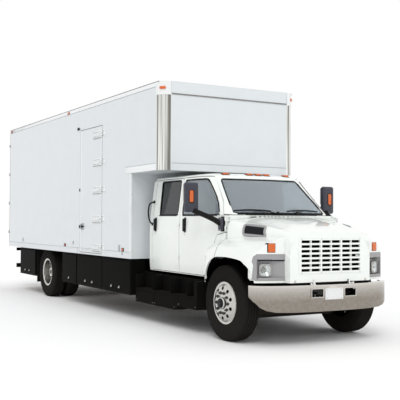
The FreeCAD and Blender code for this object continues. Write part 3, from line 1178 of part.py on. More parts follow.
def corner_rings(radius, bore, z_from, z_to):
    """Build a quarter of a tube round each of the nose's front corners."""
    rings = []
    for side in (1, -1):
        centre = Vec(side * (v.box_half - v.post_radius), v.nose_front + v.post_radius, z_from)
        tube = Part.makeCylinder(radius, z_to - z_from, centre).cut(Part.makeCylinder(bore, z_to - z_from,
                centre))
        x_from, x_to = sorted((centre.x, centre.x + side * (radius + v.cut_over)))
        rings.append(tube.common(box_shape(x_from, x_to, centre.y - radius - v.cut_over, centre.y, z_from,
                                           z_to)))
    return rings


def corner_waste(radius, inset):
    """Return what rounding takes off the nose's two front corners, inset from its walls."""
    waste = []
    low, high = v.nose_low - v.cut_over, v.box_top + v.cut_over
    for side in (1, -1):
        centre = Vec(side * (v.box_half - inset - radius), v.nose_front + inset + radius, low)
        x_from, x_to = sorted((centre.x, centre.x + side * (radius + v.cut_over)))
        corner = box_shape(x_from, x_to, centre.y - radius - v.cut_over, centre.y, low, high)
        waste.append(corner.cut(Part.makeCylinder(radius, high - low, centre)))
    return waste


def make_bands():
    """Build the flat bands along the body's nose and base."""
    flat = v.box_half - v.post_radius - v.cast_thick
    front = (v.nose_front - v.band_thick, v.nose_front)
    bands = [box_shape(-flat, flat, *front, v.header_low, v.box_top - v.band_thick),
             box_shape(-flat, flat, *front, v.nose_low, v.nose_band_top)]
    for side, spans in ((1, [(v.box_front, v.box_rear - v.box_wall)]),
                        (-1, [(v.box_front, v.side_front - v.strap_long),
                              (v.side_rear + v.strap_long, v.box_rear - v.box_wall)])):
        x_from, x_to = sorted((side * v.box_half, side * (v.box_half + v.band_thick)))
        for start, end in spans:
            bands.append(box_shape(x_from, x_to, start, end, v.box_low, v.base_band_top))
    piece("box_bands", shaped("bands", Part.makeCompound(bands)))


def make_rear_frame():
    """Build the frame round the rear doors with its hinge pins."""
    outer = box_shape(-v.box_half, v.box_half, v.box_rear - v.box_wall, v.box_rear, v.box_low, v.box_top)
    hole = box_shape(-v.box_half + v.rear_post, v.box_half - v.rear_post, v.box_rear - 2 * v.box_wall,
                     v.box_rear + v.cut_over,
                     v.rear_sill, v.box_top - v.rear_header)
    frame = outer.cut(hole)
    for side in (1, -1):
        for pin in rear_hinges()[1]:
            frame = frame.fuse(pin if side == 1 else pin.mirror(Vec(0, 0, 0), Vec(1, 0, 0)))
    piece("rear_frame", shaped("rear_ring", frame.removeSplitter()))


def strap_set(axis_x, axis_y, heights, leaf_box, ear_box):
    """Return strap hinges as door leaves and fixed pins with ears, for a vertical axis."""
    leaves, pins = [], []
    for z in heights:
        low = z - v.strap_half
        third = v.strap_half * 2 / 3
        barrel = Part.makeCylinder(v.strap_barrel, third - v.fit_gap * 2,
                                   Vec(axis_x, axis_y, low + third + v.fit_gap))
        bore = Part.makeCylinder(v.strap_pin + v.fit_gap, third * 3, Vec(axis_x, axis_y, low))
        x_from, x_to, y_from, y_to = leaf_box
        leaf = box_shape(x_from, x_to, y_from, y_to, low + third + v.fit_gap, low + 2 * third - v.fit_gap)
        leaves.append(barrel.fuse(leaf).cut(bore))
        pin = Part.makeCylinder(v.strap_pin, third * 3, Vec(axis_x, axis_y, low))
        x_from, x_to, y_from, y_to = ear_box
        for ear_low in (low, low + 2 * third):
            pin = pin.fuse(Part.makeCylinder(v.strap_barrel, third, Vec(axis_x, axis_y, ear_low)))
            pin = pin.fuse(box_shape(x_from, x_to, y_from, y_to, ear_low, ear_low + third))
        pins.append(pin)
    return leaves, pins


def side_hinges():
    """Return the side door's strap hinges."""
    x = -v.box_half - v.strap_barrel
    heights = [between(v.side_low, v.side_top, share) for share in (0.045, 0.27, 0.5, 0.72, 0.94)]
    leaf_box = (x - v.strap_thick / 2, x + v.strap_barrel, v.side_axis_back, v.side_front + v.strap_long)
    ear_box = (x - v.strap_thick / 2, x + v.strap_barrel, v.side_axis_back - v.strap_long / 2,
               v.side_axis_back)
    return strap_set(x, v.side_axis_back, heights, leaf_box, ear_box)


def rear_hinges():
    """Return the left rear door's strap hinges."""
    x = v.box_half + v.strap_barrel / 2
    y = v.box_rear + v.strap_barrel
    heights = [between(v.rear_sill, v.box_top - v.rear_header, share) for share in (0.08, 0.36, 0.64, 0.92)]
    leaf_box = (v.box_half - v.rear_post - v.strap_long, x, y - v.strap_barrel, y + v.strap_thick / 2)
    ear_box = (v.box_half - v.rear_post * 0.6, x, y - v.strap_barrel, y)
    return strap_set(x, y, heights, leaf_box, ear_box)


def make_side_door():
    """Build the body's side door with its hinge leaves and latch."""
    leaf = box_shape(-v.box_half, -v.box_half + v.box_wall - v.leaf_gap, v.side_front, v.side_rear,
                     v.side_low, v.side_top)
    handle = box_shape(-v.box_half - v.handle_out * 1.3, -v.box_half, v.side_rear - v.strap_long * 1.6,
                       v.side_rear - v.strap_long,
                       v.handle_low + v.cut_over / 2, v.handle_low + v.cut_over)
    piece("side_door", shaped("side_leaf", leaf.multiFuse(side_hinges()[0] + [handle]).removeSplitter()))


def make_rear_door():
    """Build the left rear door with two lock bars."""
    low, high = v.rear_sill + v.shut_gap, v.box_top - v.rear_header - v.shut_gap
    leaf = box_shape(v.leaf_gap, v.box_half - v.rear_post - v.shut_gap, v.box_rear - v.box_wall,
                     v.box_rear, low, high)
    parts = []
    for share in (0.3, 0.72):
        x = v.box_half * share
        bar = Part.makeCylinder(v.bar_radius, high - low, Vec(x, v.box_rear + v.bar_off + v.bar_radius,
                low))
        parts.append(bar)
        for at in (0.03, 0.34, 0.66, 0.94):
            z = between(low, high, at)
            parts.append(box_shape(x - v.bar_radius * 2, x + v.bar_radius * 2, v.box_rear,
                                   v.box_rear + v.bar_off + v.bar_radius, z,
                                   z + v.strap_half))
        grip = box_shape(x - v.bar_radius, x + v.strap_long * 1.8,
                         v.box_rear + v.bar_off + v.bar_radius / 2,
                         v.box_rear + v.lock_proud, between(low, high, 0.2),
                         between(low, high, 0.2) + v.strap_half)
        parts.append(grip)
        parts.append(box_shape(x + v.strap_long * 1.5, x + v.strap_long * 1.7, v.box_rear,
                               v.box_rear + v.bar_off + v.bar_radius,
                               between(low, high, 0.2), between(low, high, 0.2) + v.strap_half))
    shape = leaf.multiFuse(parts + rear_hinges()[0])
    piece("left_back_door", shaped("back_leaf", shape.removeSplitter()))


# Storage boxes under the body, rear guard and marker lamps

def make_skirts():
    """Build the boxes and flaps under the body's sides."""
    spans = [("skirt_front", "skirt_seam - shut_gap"), ("skirt_seam + shut_gap", "arch_front"),
             ("arch_rear + flap_thick", "skirt_end")]
    parts = []
    for i, (start, end) in enumerate(spans):
        parts.append(block(f"skirt_{i}", "skirt_in", "skirt_out", start, end, "skirt_low", "skirt_top"))
        parts.append(block(f"skirt_arm_{i}", "frame_half", "skirt_in", start + " + skirt_in / 5",
                           start + " + skirt_in / 3",
                           "frame_top - frame_height / 2", "frame_top - frame_wall"))
    left = fused("skirt_left", parts[:2])
    middle = fused("skirt_middle", parts[2:4])
    rear = fused("skirt_rear", parts[4:6])
    group = [left, middle, rear]
    piece("skirts", grouped("skirt_set", group + [mirrored(item.Name + "_twin", item) for item in group]))


def make_flaps():
    """Build the mud flaps behind the rear wheels, hung on the rear boxes."""
    left = block("flap", "flap_in", "flap_out", "arch_rear", "arch_rear + flap_thick", "flap_low",
                 "skirt_top")
    piece("mud_flaps", grouped("flap_set", [left, mirrored("flap_twin", left)]))


def make_rear_guard():
    """Build the guard behind the frame's hitch plate, under the rear of the body."""
    front = "frame_rear + hitch_plate"
    rear = front + " + guard_depth"
    bar = block("guard_bar", "-guard_half", "guard_half", front, rear, "guard_low", "guard_high")
    legs = [block(f"guard_leg_{i}", f"{way} * guard_leg_x - guard_depth / 2",
                  f"{way} * guard_leg_x + guard_depth / 2",
                  front, rear, "guard_high", "frame_top - frame_wall") for i, way in enumerate(("1", "-1"))]
    rail = block("guard_rail", "-guard_half", "guard_half", front, rear, "frame_top - frame_flange",
                 "frame_top - frame_wall")
    piece("rear_bumper", fused("guard_joined", [bar, rail] + legs))


def make_box_lamps():
    """Build the marker lamps on the body."""
    lamps = []
    top = v.box_top - v.lamp_tall * 1.2
    for side in (1, -1):
        x_out = side * v.box_half
        for y in (between(v.nose_front, v.box_rear, 0.5), v.box_rear - v.box_wall - v.lamp_long):
            lamps.append(box_shape(*sorted((x_out, x_out + side * v.lamp_out)), y - v.lamp_long / 2,
                                   y + v.lamp_long / 2,
                                   top - v.lamp_tall, top))
        for y in (v.box_front + v.lamp_long * 3, v.arch_front - v.lamp_long * 2):
            z = v.box_low + v.lamp_tall * 5
            lamps.append(box_shape(*sorted((x_out, x_out + side * v.lamp_out)), y - v.lamp_long / 3,
                                   y + v.lamp_long / 3,
                                   z - v.lamp_tall, z))
        lamps.append(corner_lamp(side))
    piece("box_lamps", shaped("box_lamp_set", Part.makeCompound(lamps)))
    rear = (v.box_rear, v.box_rear + v.lamp_out)
    tails = []
    for share in (-0.84, -0.14, 0.0, 0.14, 0.84):
        x, z = v.box_half * share, v.box_top - v.rear_header / 2
        tails.append(box_shape(x - v.lamp_long / 2, x + v.lamp_long / 2, *rear, z - v.lamp_tall / 2,
                               z + v.lamp_tall / 2))
    middle = between(v.box_low, v.rear_sill, 0.5)
    for side in (1, -1):
        for step in (0, 1):
            x = side * (v.tail_lamp_x + step * v.lamp_long * 1.7)
            tails.append(Part.makeCylinder(v.lamp_long * 0.55, v.lamp_out, Vec(x, v.box_rear, middle),
                                           Vec(0, 1, 0)))
    piece("tail_lamps", shaped("tail_lamp_set", Part.makeCompound(tails)))


def corner_lamp(side):
    """Build the marker lamp on one corner casting, facing outwards between front and side."""
    reach = v.post_radius + v.cast_thick
    lamp = box_shape(-v.lamp_long / 2, v.lamp_long / 2, -reach - v.lamp_out, -reach / 2, -v.lamp_tall,
                     v.lamp_tall / 4)
    lamp = lamp.cut(Part.makeCylinder(reach, v.lamp_tall * 4, Vec(0, 0, -v.lamp_tall * 2)))
    lamp.rotate(Vec(0, 0, 0), Vec(0, 0, 1), side * 45)
    lamp.translate(Vec(side * (v.box_half - v.post_radius), v.nose_front + v.post_radius,
                       v.box_top - v.lamp_long))
    return lamp


for make in (make_frame, make_front_wheel, make_rear_wheels, make_front_axle, make_knuckle, make_rear_axle,
             make_springs,
             make_engine, make_bumper, make_steps, make_cab, make_furniture, make_roof_lamps, make_mirror,
             make_hood,
             make_grille, make_box, make_bands, make_rear_frame, make_side_door, make_rear_door,
             make_skirts,
             make_flaps, make_rear_guard, make_box_lamps):
    make()
for name in ("front_rim", "front_tyre", "rear_rims", "rear_tyres", "knuckle", "front_door", "rear_door",
             "front_glass",
             "rear_glass", "mirror", "back_door"):
    twin_piece("right_" + name, pieces["left_" + name])
doc.recompute()

# Every object must have built, and every piece must be sound, before anything is written
for item in doc.Objects:
    if "Invalid" in item.State or "Error" in item.State:
        raise RuntimeError(f"{item.Name} did not build")
for label, item in pieces.items():
    if item.Shape.isNull() or not item.Shape.isValid() or not item.Shape.Solids:
        raise RuntimeError(f"{label} is not a sound solid")

os.makedirs("parts", exist_ok=True)
for label, item in pieces.items():
    item.Shape.exportStep(f"parts/{label}.step")
print(len(pieces), "pieces")
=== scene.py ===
"""Crew-cab box truck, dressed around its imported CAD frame.

Every length is in metres in the row frame: the truck faces -Y, +Z is up and its left side is +X.
"""

from __future__ import annotations

import json
import logging
import math
from dataclasses import dataclass, field
from enum import Enum
from typing import Any, Optional, Sequence

import bmesh
import bpy
import numpy as np
from mathutils import Matrix

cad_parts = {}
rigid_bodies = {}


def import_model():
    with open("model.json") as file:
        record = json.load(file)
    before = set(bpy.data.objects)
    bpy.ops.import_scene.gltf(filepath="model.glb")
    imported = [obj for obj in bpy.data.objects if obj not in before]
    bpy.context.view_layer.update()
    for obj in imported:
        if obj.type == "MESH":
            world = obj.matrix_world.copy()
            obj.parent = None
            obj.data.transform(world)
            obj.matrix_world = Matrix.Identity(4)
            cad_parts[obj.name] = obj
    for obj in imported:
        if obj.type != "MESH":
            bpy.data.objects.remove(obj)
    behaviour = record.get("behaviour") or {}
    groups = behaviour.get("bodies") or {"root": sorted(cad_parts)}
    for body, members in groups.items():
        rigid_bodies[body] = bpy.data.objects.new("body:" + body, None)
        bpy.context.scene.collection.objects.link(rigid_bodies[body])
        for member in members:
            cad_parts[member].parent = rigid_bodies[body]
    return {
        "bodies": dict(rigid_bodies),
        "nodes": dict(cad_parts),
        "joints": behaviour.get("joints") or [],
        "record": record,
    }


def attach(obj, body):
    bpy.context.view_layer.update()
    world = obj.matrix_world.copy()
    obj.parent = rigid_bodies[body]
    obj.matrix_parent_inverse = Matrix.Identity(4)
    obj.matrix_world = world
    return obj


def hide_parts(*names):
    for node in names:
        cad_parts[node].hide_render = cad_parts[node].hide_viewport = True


LOG = logging.getLogger("box_truck")
Array = np.ndarray
Floats = Sequence[float]
Outline = tuple[tuple[float, float], ...]

MM = 0.001
FAR = 9.0  # past every side of the truck
AXLE_Y = -4.3925  # front axle
REAR_Y = 2.7075  # rear axle
SIDES = {"right": -1, "left": 1}
LEFT, RIGHT = (1, 0, 0), (-1, 0, 0)
FRONT, BACK = (0, -1, 0), (0, 1, 0)
UP, DOWN = (0, 0, 1), (0, 0, -1)


# Shapes worked out with numpy


@dataclass
class Shape:
    """Points with quads and triangles, before they become a mesh."""

    points: Array
    quads: Array = field(default_factory=lambda: np.zeros((0, 4), int))
    tris: Array = field(default_factory=lambda: np.zeros((0, 3), int))

    def moved(self, x: float = 0.0, y: float = 0.0, z: float = 0.0) -> "Shape":
        """Return the shape moved by an offset."""
        return Shape(self.points + np.array([x, y, z]), self.quads, self.tris)

    def turned(self, axis: str, degrees: float, centre: Floats = (0, 0, 0)) -> "Shape":
        """Return the shape turned about an axis through a centre.

        Args:
            axis: x, y or z.
            degrees: the angle, by the right-hand rule.
            centre: a point on the axis.

        Returns:
            The turned shape.
        """
        matrix = np.array(Matrix.Rotation(math.radians(degrees), 3, axis.upper()))
        middle = np.array(centre, float)
        return Shape((self.points - middle) @ matrix.T + middle, self.quads, self.tris)

    def mirrored(self) -> "Shape":
        """Return the mirror image across x = 0, its faces turned back outwards."""
        return Shape(self.points * np.array([-1, 1, 1]), self.quads[:, ::-1], self.tris[:, ::-1])

    def on(self, side: int) -> "Shape":
        """Return the shape as it stands on the left side (1), or mirrored for the right side (-1)."""
        return self if side > 0 else self.mirrored()


def joined(shapes: Sequence[Shape]) -> Shape:
    """Join shapes into one by shifting each one's face numbers past the points before it.

    Args:
        shapes: the shapes to join.

    Returns:
        One shape.
    """
    starts = np.cumsum([0] + [len(s.points) for s in shapes[:-1]])
    return Shape(np.concatenate([s.points for s in shapes]),
        np.concatenate([s.quads + start for s, start in zip(shapes, starts)]),
        np.concatenate([s.tris + start for s, start in zip(shapes, starts)]))


def repeated(shape: Shape, offsets: Array) -> Shape:
    """Copy a shape to many places at once.

    Args:
        shape: the shape to copy.
        offsets: one row of x, y, z for each copy.

    Returns:
        One joined shape.
    """
    offsets = np.asarray(offsets, float).reshape(-1, 3)
    count, size = len(offsets), len(shape.points)
    points = (shape.points[None] + offsets[:, None]).reshape(-1, 3)
    shift = (np.arange(count) * size)[:, None, None]
    return Shape(points, (shape.quads[None] + shift).reshape(-1, 4), (shape.tris[None] + shift).reshape(-1, 3))


def pair(*shapes: Shape) -> Shape:
    """Return shapes joined with their mirror images."""
    whole = joined(shapes)
    return joined([whole, whole.mirrored()])


def surface(grid: Array, wrap_u: bool = False, wrap_v: bool = False, caps: bool = False) -> Shape:
    """Join a grid of points (u, v, 3) by quads; a cap is a fan from the mean of an end ring.

    Args:
        grid: the points.
        wrap_u: join the last row to the first.
        wrap_v: join the last column to the first.
        caps: close the first and last rows.

    Returns:
        The surface.
    """
    rows, columns = grid.shape[:2]
    index = np.arange(rows * columns).reshape(rows, columns)
    if wrap_u:
        index = np.concatenate([index, index[:1]], 0)
    if wrap_v:
        index = np.concatenate([index, index[:, :1]], 1)
    quads = np.stack([index[:-1, :-1], index[1:, :-1], index[1:, 1:], index[:-1, 1:]], -1).reshape(-1, 4)
    points = grid.reshape(-1, 3)
    tris = np.zeros((0, 3), int)
    if caps:
        centres = np.stack([grid[0].mean(0), grid[-1].mean(0)])
        first, last = index[0], index[-1]
        number = len(points)
        points = np.concatenate([points, centres])
        tris = np.concatenate([np.stack([np.full(len(first) - 1, number), first[:-1], first[1:]], -1),
            np.stack([np.full(len(last) - 1, number + 1), last[1:], last[:-1]], -1)])
    return Shape(points, quads, tris)


def lathe(profile: Sequence[tuple[float, float]], axis: str = "x", segments: int = 48) -> Shape:
    """Turn a profile of (place along the axis, radius) about an axis: point = place + radius (cos, sin).

    Args:
        profile: the profile's points.
        axis: x, y or z.
        segments: faces around.

    Returns:
        The turned surface, its ends closed by flat caps.
    """
    line = np.array(profile, float)
    angle = np.linspace(0, 2 * np.pi, segments, endpoint=False)
    along = np.repeat(line[:, :1], segments, 1)
    first, second = np.outer(line[:, 1], np.cos(angle)), np.outer(line[:, 1], np.sin(angle))
    order = {"x": (along, first, second), "y": (second, along, first), "z": (first, second, along)}[axis]
    return surface(np.stack(order, -1), wrap_v=True, caps=True)


def curve(points: Sequence[Floats], count: int, loop: bool = False) -> Array:
    """Carry a Catmull-Rom curve through points, evenly spaced in parameter.

    Args:
        points: the points to pass through.
        count: how many points come back.
        loop: join the last point to the first.

    Returns:
        The curve's points.
    """
    line = np.array(points, float)
    if loop:
        padded = np.concatenate([line[-1:], line, line[:2]])
        spans = len(line)
    else:
        padded = np.concatenate([2 * line[:1] - line[1:2], line, 2 * line[-1:] - line[-2:-1]])
        spans = len(line) - 1
    place = np.linspace(0, spans, count, endpoint=not loop)
    start = np.minimum(place.astype(int), spans - 1)
    t = (place - start)[:, None]
    a, b, c, d = (padded[start + k] for k in range(4))
    return 0.5 * (2 * b + (c - a) * t + (2 * a - 5 * b + 4 * c - d) * t ** 2 + (3 * b - a - 3 * c + d) * t ** 3)


def tube(path: Sequence[Floats], radius: Any, sides: int = 10, flat: tuple[float, float] = (1.0, 1.0)) -> Shape:
    """Carry a round or flattened section along a path: point = path + radius (normal cos + binormal sin).

    Args:
        path: the centre line.
        radius: the section's radius, one for the whole path or one for each point.
        sides: faces around.
        flat: the section's stretch along its normal and binormal.

    Returns:
        The closed tube.
    """
    line = np.array(path, float)
    tangent = np.gradient(line, axis=0)
    tangent /= np.linalg.norm(tangent, axis=1)[:, None]
    span = np.abs(line[-1] - line[0])
    hint = np.eye(3)[int(np.argmin(span))]
    normal = np.cross(tangent, hint)
    normal /= np.maximum(np.linalg.norm(normal, axis=1), 1e-9)[:, None]
    other = np.cross(tangent, normal)
    angle = np.linspace(0, 2 * np.pi, sides, endpoint=False)
    ring = (normal[:, None] * (np.cos(angle) * flat[0])[None, :, None] + other[:, None]
        * (np.sin(angle) * flat[1])[None, :, None])
    return surface(line[:, None] + np.reshape(radius, (-1, 1, 1)) * ring, wrap_v=True, caps=True)


def looped(line: Array, radius: float, sides: int = 8) -> Shape:
    """Carry a round section round a closed flat line.

    Args:
        line: the line's points.
        radius: the section's radius.
        sides: faces around.

    Returns:
        The closed ring.
    """
    tangent = np.roll(line, -1, 0) - np.roll(line, 1, 0)
    way = np.cross(tangent, np.roll(tangent, -1, 0)).sum(0)
    way = way / np.linalg.norm(way)
    inward = np.cross(way, tangent)
    inward /= np.linalg.norm(inward, axis=1)[:, None]
    angle = np.linspace(0, 2 * np.pi, sides, endpoint=False)
    ring = inward[:, None] * np.cos(angle)[None, :, None] + way * np.sin(angle)[None, :, None]
    return surface(line[:, None] + radius * ring, wrap_u=True, wrap_v=True)


def slab(low: Floats, high: Floats, edge: float, steps: int = 2) -> Shape:
    """Make a box with rounded edges: rings of a rounded rectangle, drawn in near each end along z.

    Args:
        low: lowest corner.
        high: highest corner.
        edge: the edges' radius.
        steps: faces along each quarter round.

    Returns:
        The closed shape.
    """
    low, high = np.minimum(low, high).astype(float), np.maximum(low, high).astype(float)
    middle, half = (low + high) / 2, (high - low) / 2
    edge = min(edge, float(half.min()) * 0.98)
    quarter = np.linspace(0, np.pi / 2, steps + 1)
    around = np.concatenate([quarter + k * np.pi / 2 for k in range(4)])
    corner_x = np.repeat([1, -1, -1, 1], steps + 1)
    corner_y = np.repeat([1, 1, -1, -1], steps + 1)
    sink = np.concatenate([edge * (1 - np.sin(quarter)), edge * (1 - np.sin(quarter[::-1]))])
    height = np.concatenate([-half[2] + edge * (1 - np.cos(quarter)), half[2] - edge * (1 - np.cos(quarter[::-1]))])
    keep = edge - sink
    x = corner_x * (half[0] - edge) + keep[:, None] * np.cos(around)
    y = corner_y * (half[1] - edge) + keep[:, None] * np.sin(around)
    z = np.repeat(height[:, None], len(around), 1)
    return surface(np.stack([x, y, z], -1) + middle, wrap_v=True, caps=True)


def row_y(y: Any) -> Any:
    """Turn a place in mm behind the front axle into the row frame's y."""
    return np.multiply(y, MM) + AXLE_Y


def at(x: Any, y: Any, z: Any) -> Array:
    """Turn places in mm, with y counted back from the front axle, into the row frame."""
    return np.stack(np.broadcast_arrays(np.multiply(x, MM), row_y(y), np.multiply(z, MM)), -1)


def bar(x: Floats, y: Floats, z: Floats, edge: float = 2.0) -> Shape:
    """Make a block with rounded edges from its spans in mm, with y from the front axle."""
    return slab(at(x[0], y[0], z[0]), at(x[1], y[1], z[1]), edge * MM)


def rounded(corners: Sequence[Floats], radius: float, gap: float) -> Array:
    """Round a closed outline: each corner becomes a quadratic curve between points a radius away on its sides.

    Args:
        corners: the outline's corners.
        radius: how far the rounding reaches.
        gap: the longest step along a straight side.

    Returns:
        The outline's points.
    """
    corner = np.array(corners, float)
    before, after = np.roll(corner, 1, 0) - corner, np.roll(corner, -1, 0) - corner
    start = corner + before / np.linalg.norm(before, axis=1)[:, None] * radius
    end = corner + after / np.linalg.norm(after, axis=1)[:, None] * radius
    t = np.linspace(0, 1, 6)[None, :, None]
    arc = (1 - t) ** 2 * start[:, None] + 2 * t * (1 - t) * corner[:, None] + t ** 2 * end[:, None]
    line = arc.reshape(-1, corner.shape[1])
    line = np.concatenate([line, line[:1]])
    run = np.concatenate([[0], np.cumsum(np.linalg.norm(np.diff(line, axis=0), axis=1))])
    place = np.union1d(run, np.arange(0, run[-1], gap))
    place = place[np.concatenate([[True], np.diff(place) > gap * 0.02])]
    place = place[place < run[-1] - gap * 0.02]
    return np.stack([np.interp(place, run, line[:, k]) for k in range(corner.shape[1])], -1)


def rectangle(axis: str, level: float, first: Floats, second: Floats, radius: float, gap: float = 60.0) -> Array:
    """Return a rounded rectangle across an axis, in mm with y from the front axle.

    Args:
        axis: the axis that it lies across.
        level: its place on that axis.
        first: its span along the first of the other axes.
        second: its span along the second.
        radius: the corners' radius.
        gap: the longest step along a side.

    Returns:
        The outline's points in the row frame.
    """
    flat = rounded([(first[0], second[0]), (first[1], second[0]), (first[1], second[1]), (first[0], second[1])],
        radius, gap)
    a, b = flat[:, 0], flat[:, 1]
    return at(*{"x": (level, a, b), "y": (a, level, b), "z": (a, b, level)}[axis])


def strip(outline: Array, out: Any, wide: float, thick: float, sink: float = 0.0, loop: bool = True) -> Shape:
    """Carry a flat band along a line: its section is wide along the surface and thick outwards.

    Args:
        outline: the line's points.
        out: the direction that the band stands out, for the whole line or for each point.
        wide: the band's width.
        thick: how far it stands out.
        sink: how far it goes in below the line.
        loop: join the line's end to its start.

    Returns:
        The closed band.
    """
    line, way = np.array(outline, float), np.array(out, float)
    way = np.broadcast_to(way / np.linalg.norm(way, axis=-1, keepdims=True), line.shape)
    tangent = np.roll(line, -1, 0) - np.roll(line, 1, 0) if loop else np.gradient(line, axis=0)
    inward = np.cross(way, tangent)
    inward /= np.linalg.norm(inward, axis=1)[:, None]
    section = np.array([(-0.5, 0), (-0.5, 0.6), (-0.34, 1.0), (0.34, 1.0), (0.5, 0.6), (0.5, 0)])
    high = section[:, 1] * thick - sink * (section[:, 1] == 0)
    ring = inward[:, None] * (section[:, 0] * wide)[None, :, None] + way[:, None] * high[None, :, None]
    return surface(line[:, None] + ring, wrap_u=loop, wrap_v=True, caps=not loop)


def plate(outline: Array, out: Floats, thick: float, bevel: float = 0.002, sink: float = 0.0) -> Shape:
    """Raise a closed outline into a plate: rings at its base, its rim and, drawn in by the bevel, its face.

    Args:
        outline: the outline's points.
        out: the direction that the plate stands out.
        thick: its thickness.
        bevel: how far its face is drawn in.
        sink: how far it goes in below the outline.

    Returns:
        The closed plate.
    """
    line, way = np.array(outline, float), np.array(out, float) / np.linalg.norm(out)
    inward = np.cross(way, np.roll(line, -1, 0) - np.roll(line, 1, 0))
    inward /= np.linalg.norm(inward, axis=1)[:, None]
    inward *= np.sign((inward * (line.mean(0) - line)).sum())
    rings = np.stack([line - way * sink, line + way * (thick - bevel), line + way * thick + inward * bevel])
    return surface(rings, wrap_v=True, caps=True)


def bolt_heads(places: Array, way: str, radius: float, height: float, sides: int = 6) -> Shape:
    """Put a low chamfered head at many places, standing along +x, -x, +y, -y, +z or -z.

    Args:
        places: one row of x, y, z for each head.
        way: the direction, such as "-x".
        radius: the head's radius.
        height: the head's height.
        sides: six for a hexagon, more for a rivet.

    Returns:
        One joined shape.
    """
    head = lathe([(-height * 0.3, radius), (height * 0.7, radius), (height, radius * 0.72)], way[1], sides)
    if way[0] == "-":
        head = Shape(head.points * np.where(np.array(list("xyz")) == way[1], -1, 1), head.quads[:, ::-1],
            head.tris[:, ::-1])
    return repeated(head, places)


# Materials


class Pattern(Enum):
    """How a finish's surface was made."""

    PLAIN = "plain"
    PAINT = "sprayed paint"
    BRUSHED = "brushed along z"
    TURNED = "turned about the wheel's axis"
    GRAIN = "moulded grain"
    RUBBER = "moulded rubber"
    PLATE = "tread plate"
    RIBS = "lens ribs"
    WEAVE = "woven cloth"
    BOARDS = "wood boards"
    CAST = "cast metal"


@dataclass(frozen=True)
class Finish:
    """One real material, with what its making gives the eye."""

    name: str
    colour: str
    roughness: float
    pattern: Pattern = Pattern.PLAIN
    metallic: float = 0.0
    coat: float = 0.0
    clear: float = 0.0
    ior: float = 1.5
    scale_mm: float = 1.0
    depth_mm: float = 0.1
    # The tint below and its strength, fading upwards: road film on most finishes, a painted reflection on the bumper
    dirt_and_painted_reflection: float = 0.0
    second: str = ""
    specular: float = 0.5
    # Width of the painted reflection streaks, pale to dark, down the surface
    painted_reflection_streak_mm: float = 0.0
    dirt_and_painted_reflection_tint: str = "#8C8375"
    tint_low: float = 0.0
    tint_top: float = 1.3
    tint_curve: float = 1.0
    slot: str = ""


# Two-pack enamel over primer: a deep gloss with faint orange peel and road film low down
CAB_ENAMEL = Finish("cab_enamel", "#F4F8F4", 0.24, Pattern.PAINT, coat=0.6, scale_mm=9, depth_mm=0.06, dirt_and_painted_reflection=0.16)
# Prepainted aluminium sheet riveted over posts: flatter gloss, slow waves between the rivets
PANEL_ENAMEL = Finish("panel_enamel", "#DEE3E6", 0.33, Pattern.PAINT, coat=0.25, scale_mm=420, depth_mm=1.1,
    dirt_and_painted_reflection=0.14)
# The same sheet on the rails and straps, drawn smooth and whiter
RAIL_ENAMEL = Finish("rail_enamel", "#F1F4F5", 0.28, Pattern.PAINT, coat=0.3, scale_mm=60, depth_mm=0.3, dirt_and_painted_reflection=0.1,
    slot="box_white")
# Plated pressed steel: a mirror with fine haze
CHROME_PLATE = Finish("chrome_plate", "#DAD7D1", 0.09, metallic=1, dirt_and_painted_reflection=0.25, slot="chrome")
# Pressed bumper in chrome with a painted reflection: bright along its top edge, browner towards its lower lip
BUMPER_CHROME = Finish("bumper_chrome", "#EAE7E1", 0.17, metallic=1, dirt_and_painted_reflection=0.86, dirt_and_painted_reflection_tint="#6A5F52", tint_low=0.6,
    tint_top=0.818, tint_curve=0.42)
# Polished stainless sheet: straight fine lines down its length
STAINLESS = Finish("polished_stainless", "#B4B2AD", 0.24, Pattern.BRUSHED, metallic=1, scale_mm=3, depth_mm=0.02)
# Rolled corner posts: brushed, with pale and dark streaks down them that are painted reflections
POST_STAINLESS = Finish("rolled_stainless_post", "#F6F6F3", 0.3, Pattern.BRUSHED, metallic=1, scale_mm=3,
    depth_mm=0.02, second="#7C7B74", painted_reflection_streak_mm=34)
# Air-dried black enamel on folded steel boxes: smooth, dusty low down
GLOSS_BLACK = Finish("gloss_black", "#0B0C0B", 0.3, Pattern.PAINT, scale_mm=14, depth_mm=0.1, dirt_and_painted_reflection=0.02,
    specular=0.006)
# Chip-resistant black on steps: dull and slightly pebbled
SATIN_BLACK = Finish("satin_black", "#0E0E0F", 0.5, Pattern.GRAIN, scale_mm=3, depth_mm=0.25, dirt_and_painted_reflection=0.03,
    specular=0.006, slot="chassis_black")
# Raised lozenges rolled into sheet, painted black
TREAD_PLATE = Finish("tread_plate", "#131415", 0.42, Pattern.PLATE, scale_mm=38, depth_mm=2.0, dirt_and_painted_reflection=0.05,
    specular=0.02)
# Vulcanised rubber: black and dull, dust in its grain
TYRE_RUBBER = Finish("tyre_rubber", "#1B1A1A", 0.85, Pattern.RUBBER, scale_mm=6, depth_mm=0.4, dirt_and_painted_reflection=0.05,
    specular=0.02, slot="tyre")
SEAL_RUBBER = Finish("seal_rubber", "#141414", 0.6, Pattern.GRAIN, scale_mm=2, depth_mm=0.1, specular=0.15,
    slot="trim_grey")
# Weathered grey rubber and putty in the panels' joints
PALE_SEAL = Finish("weathered_seal", "#A3A5A6", 0.7, Pattern.GRAIN, scale_mm=2, depth_mm=0.1, specular=0.2,
    slot="trim_grey")
# Painted shadow lines in road grey: along the roof's edge, under the header band and around the side door's hinge
# straps
PAINTED_SHADOW_GREY = Finish("painted_shadow_lines", "#85827F", 0.5, Pattern.GRAIN, scale_mm=4, depth_mm=0.1, specular=0.2)
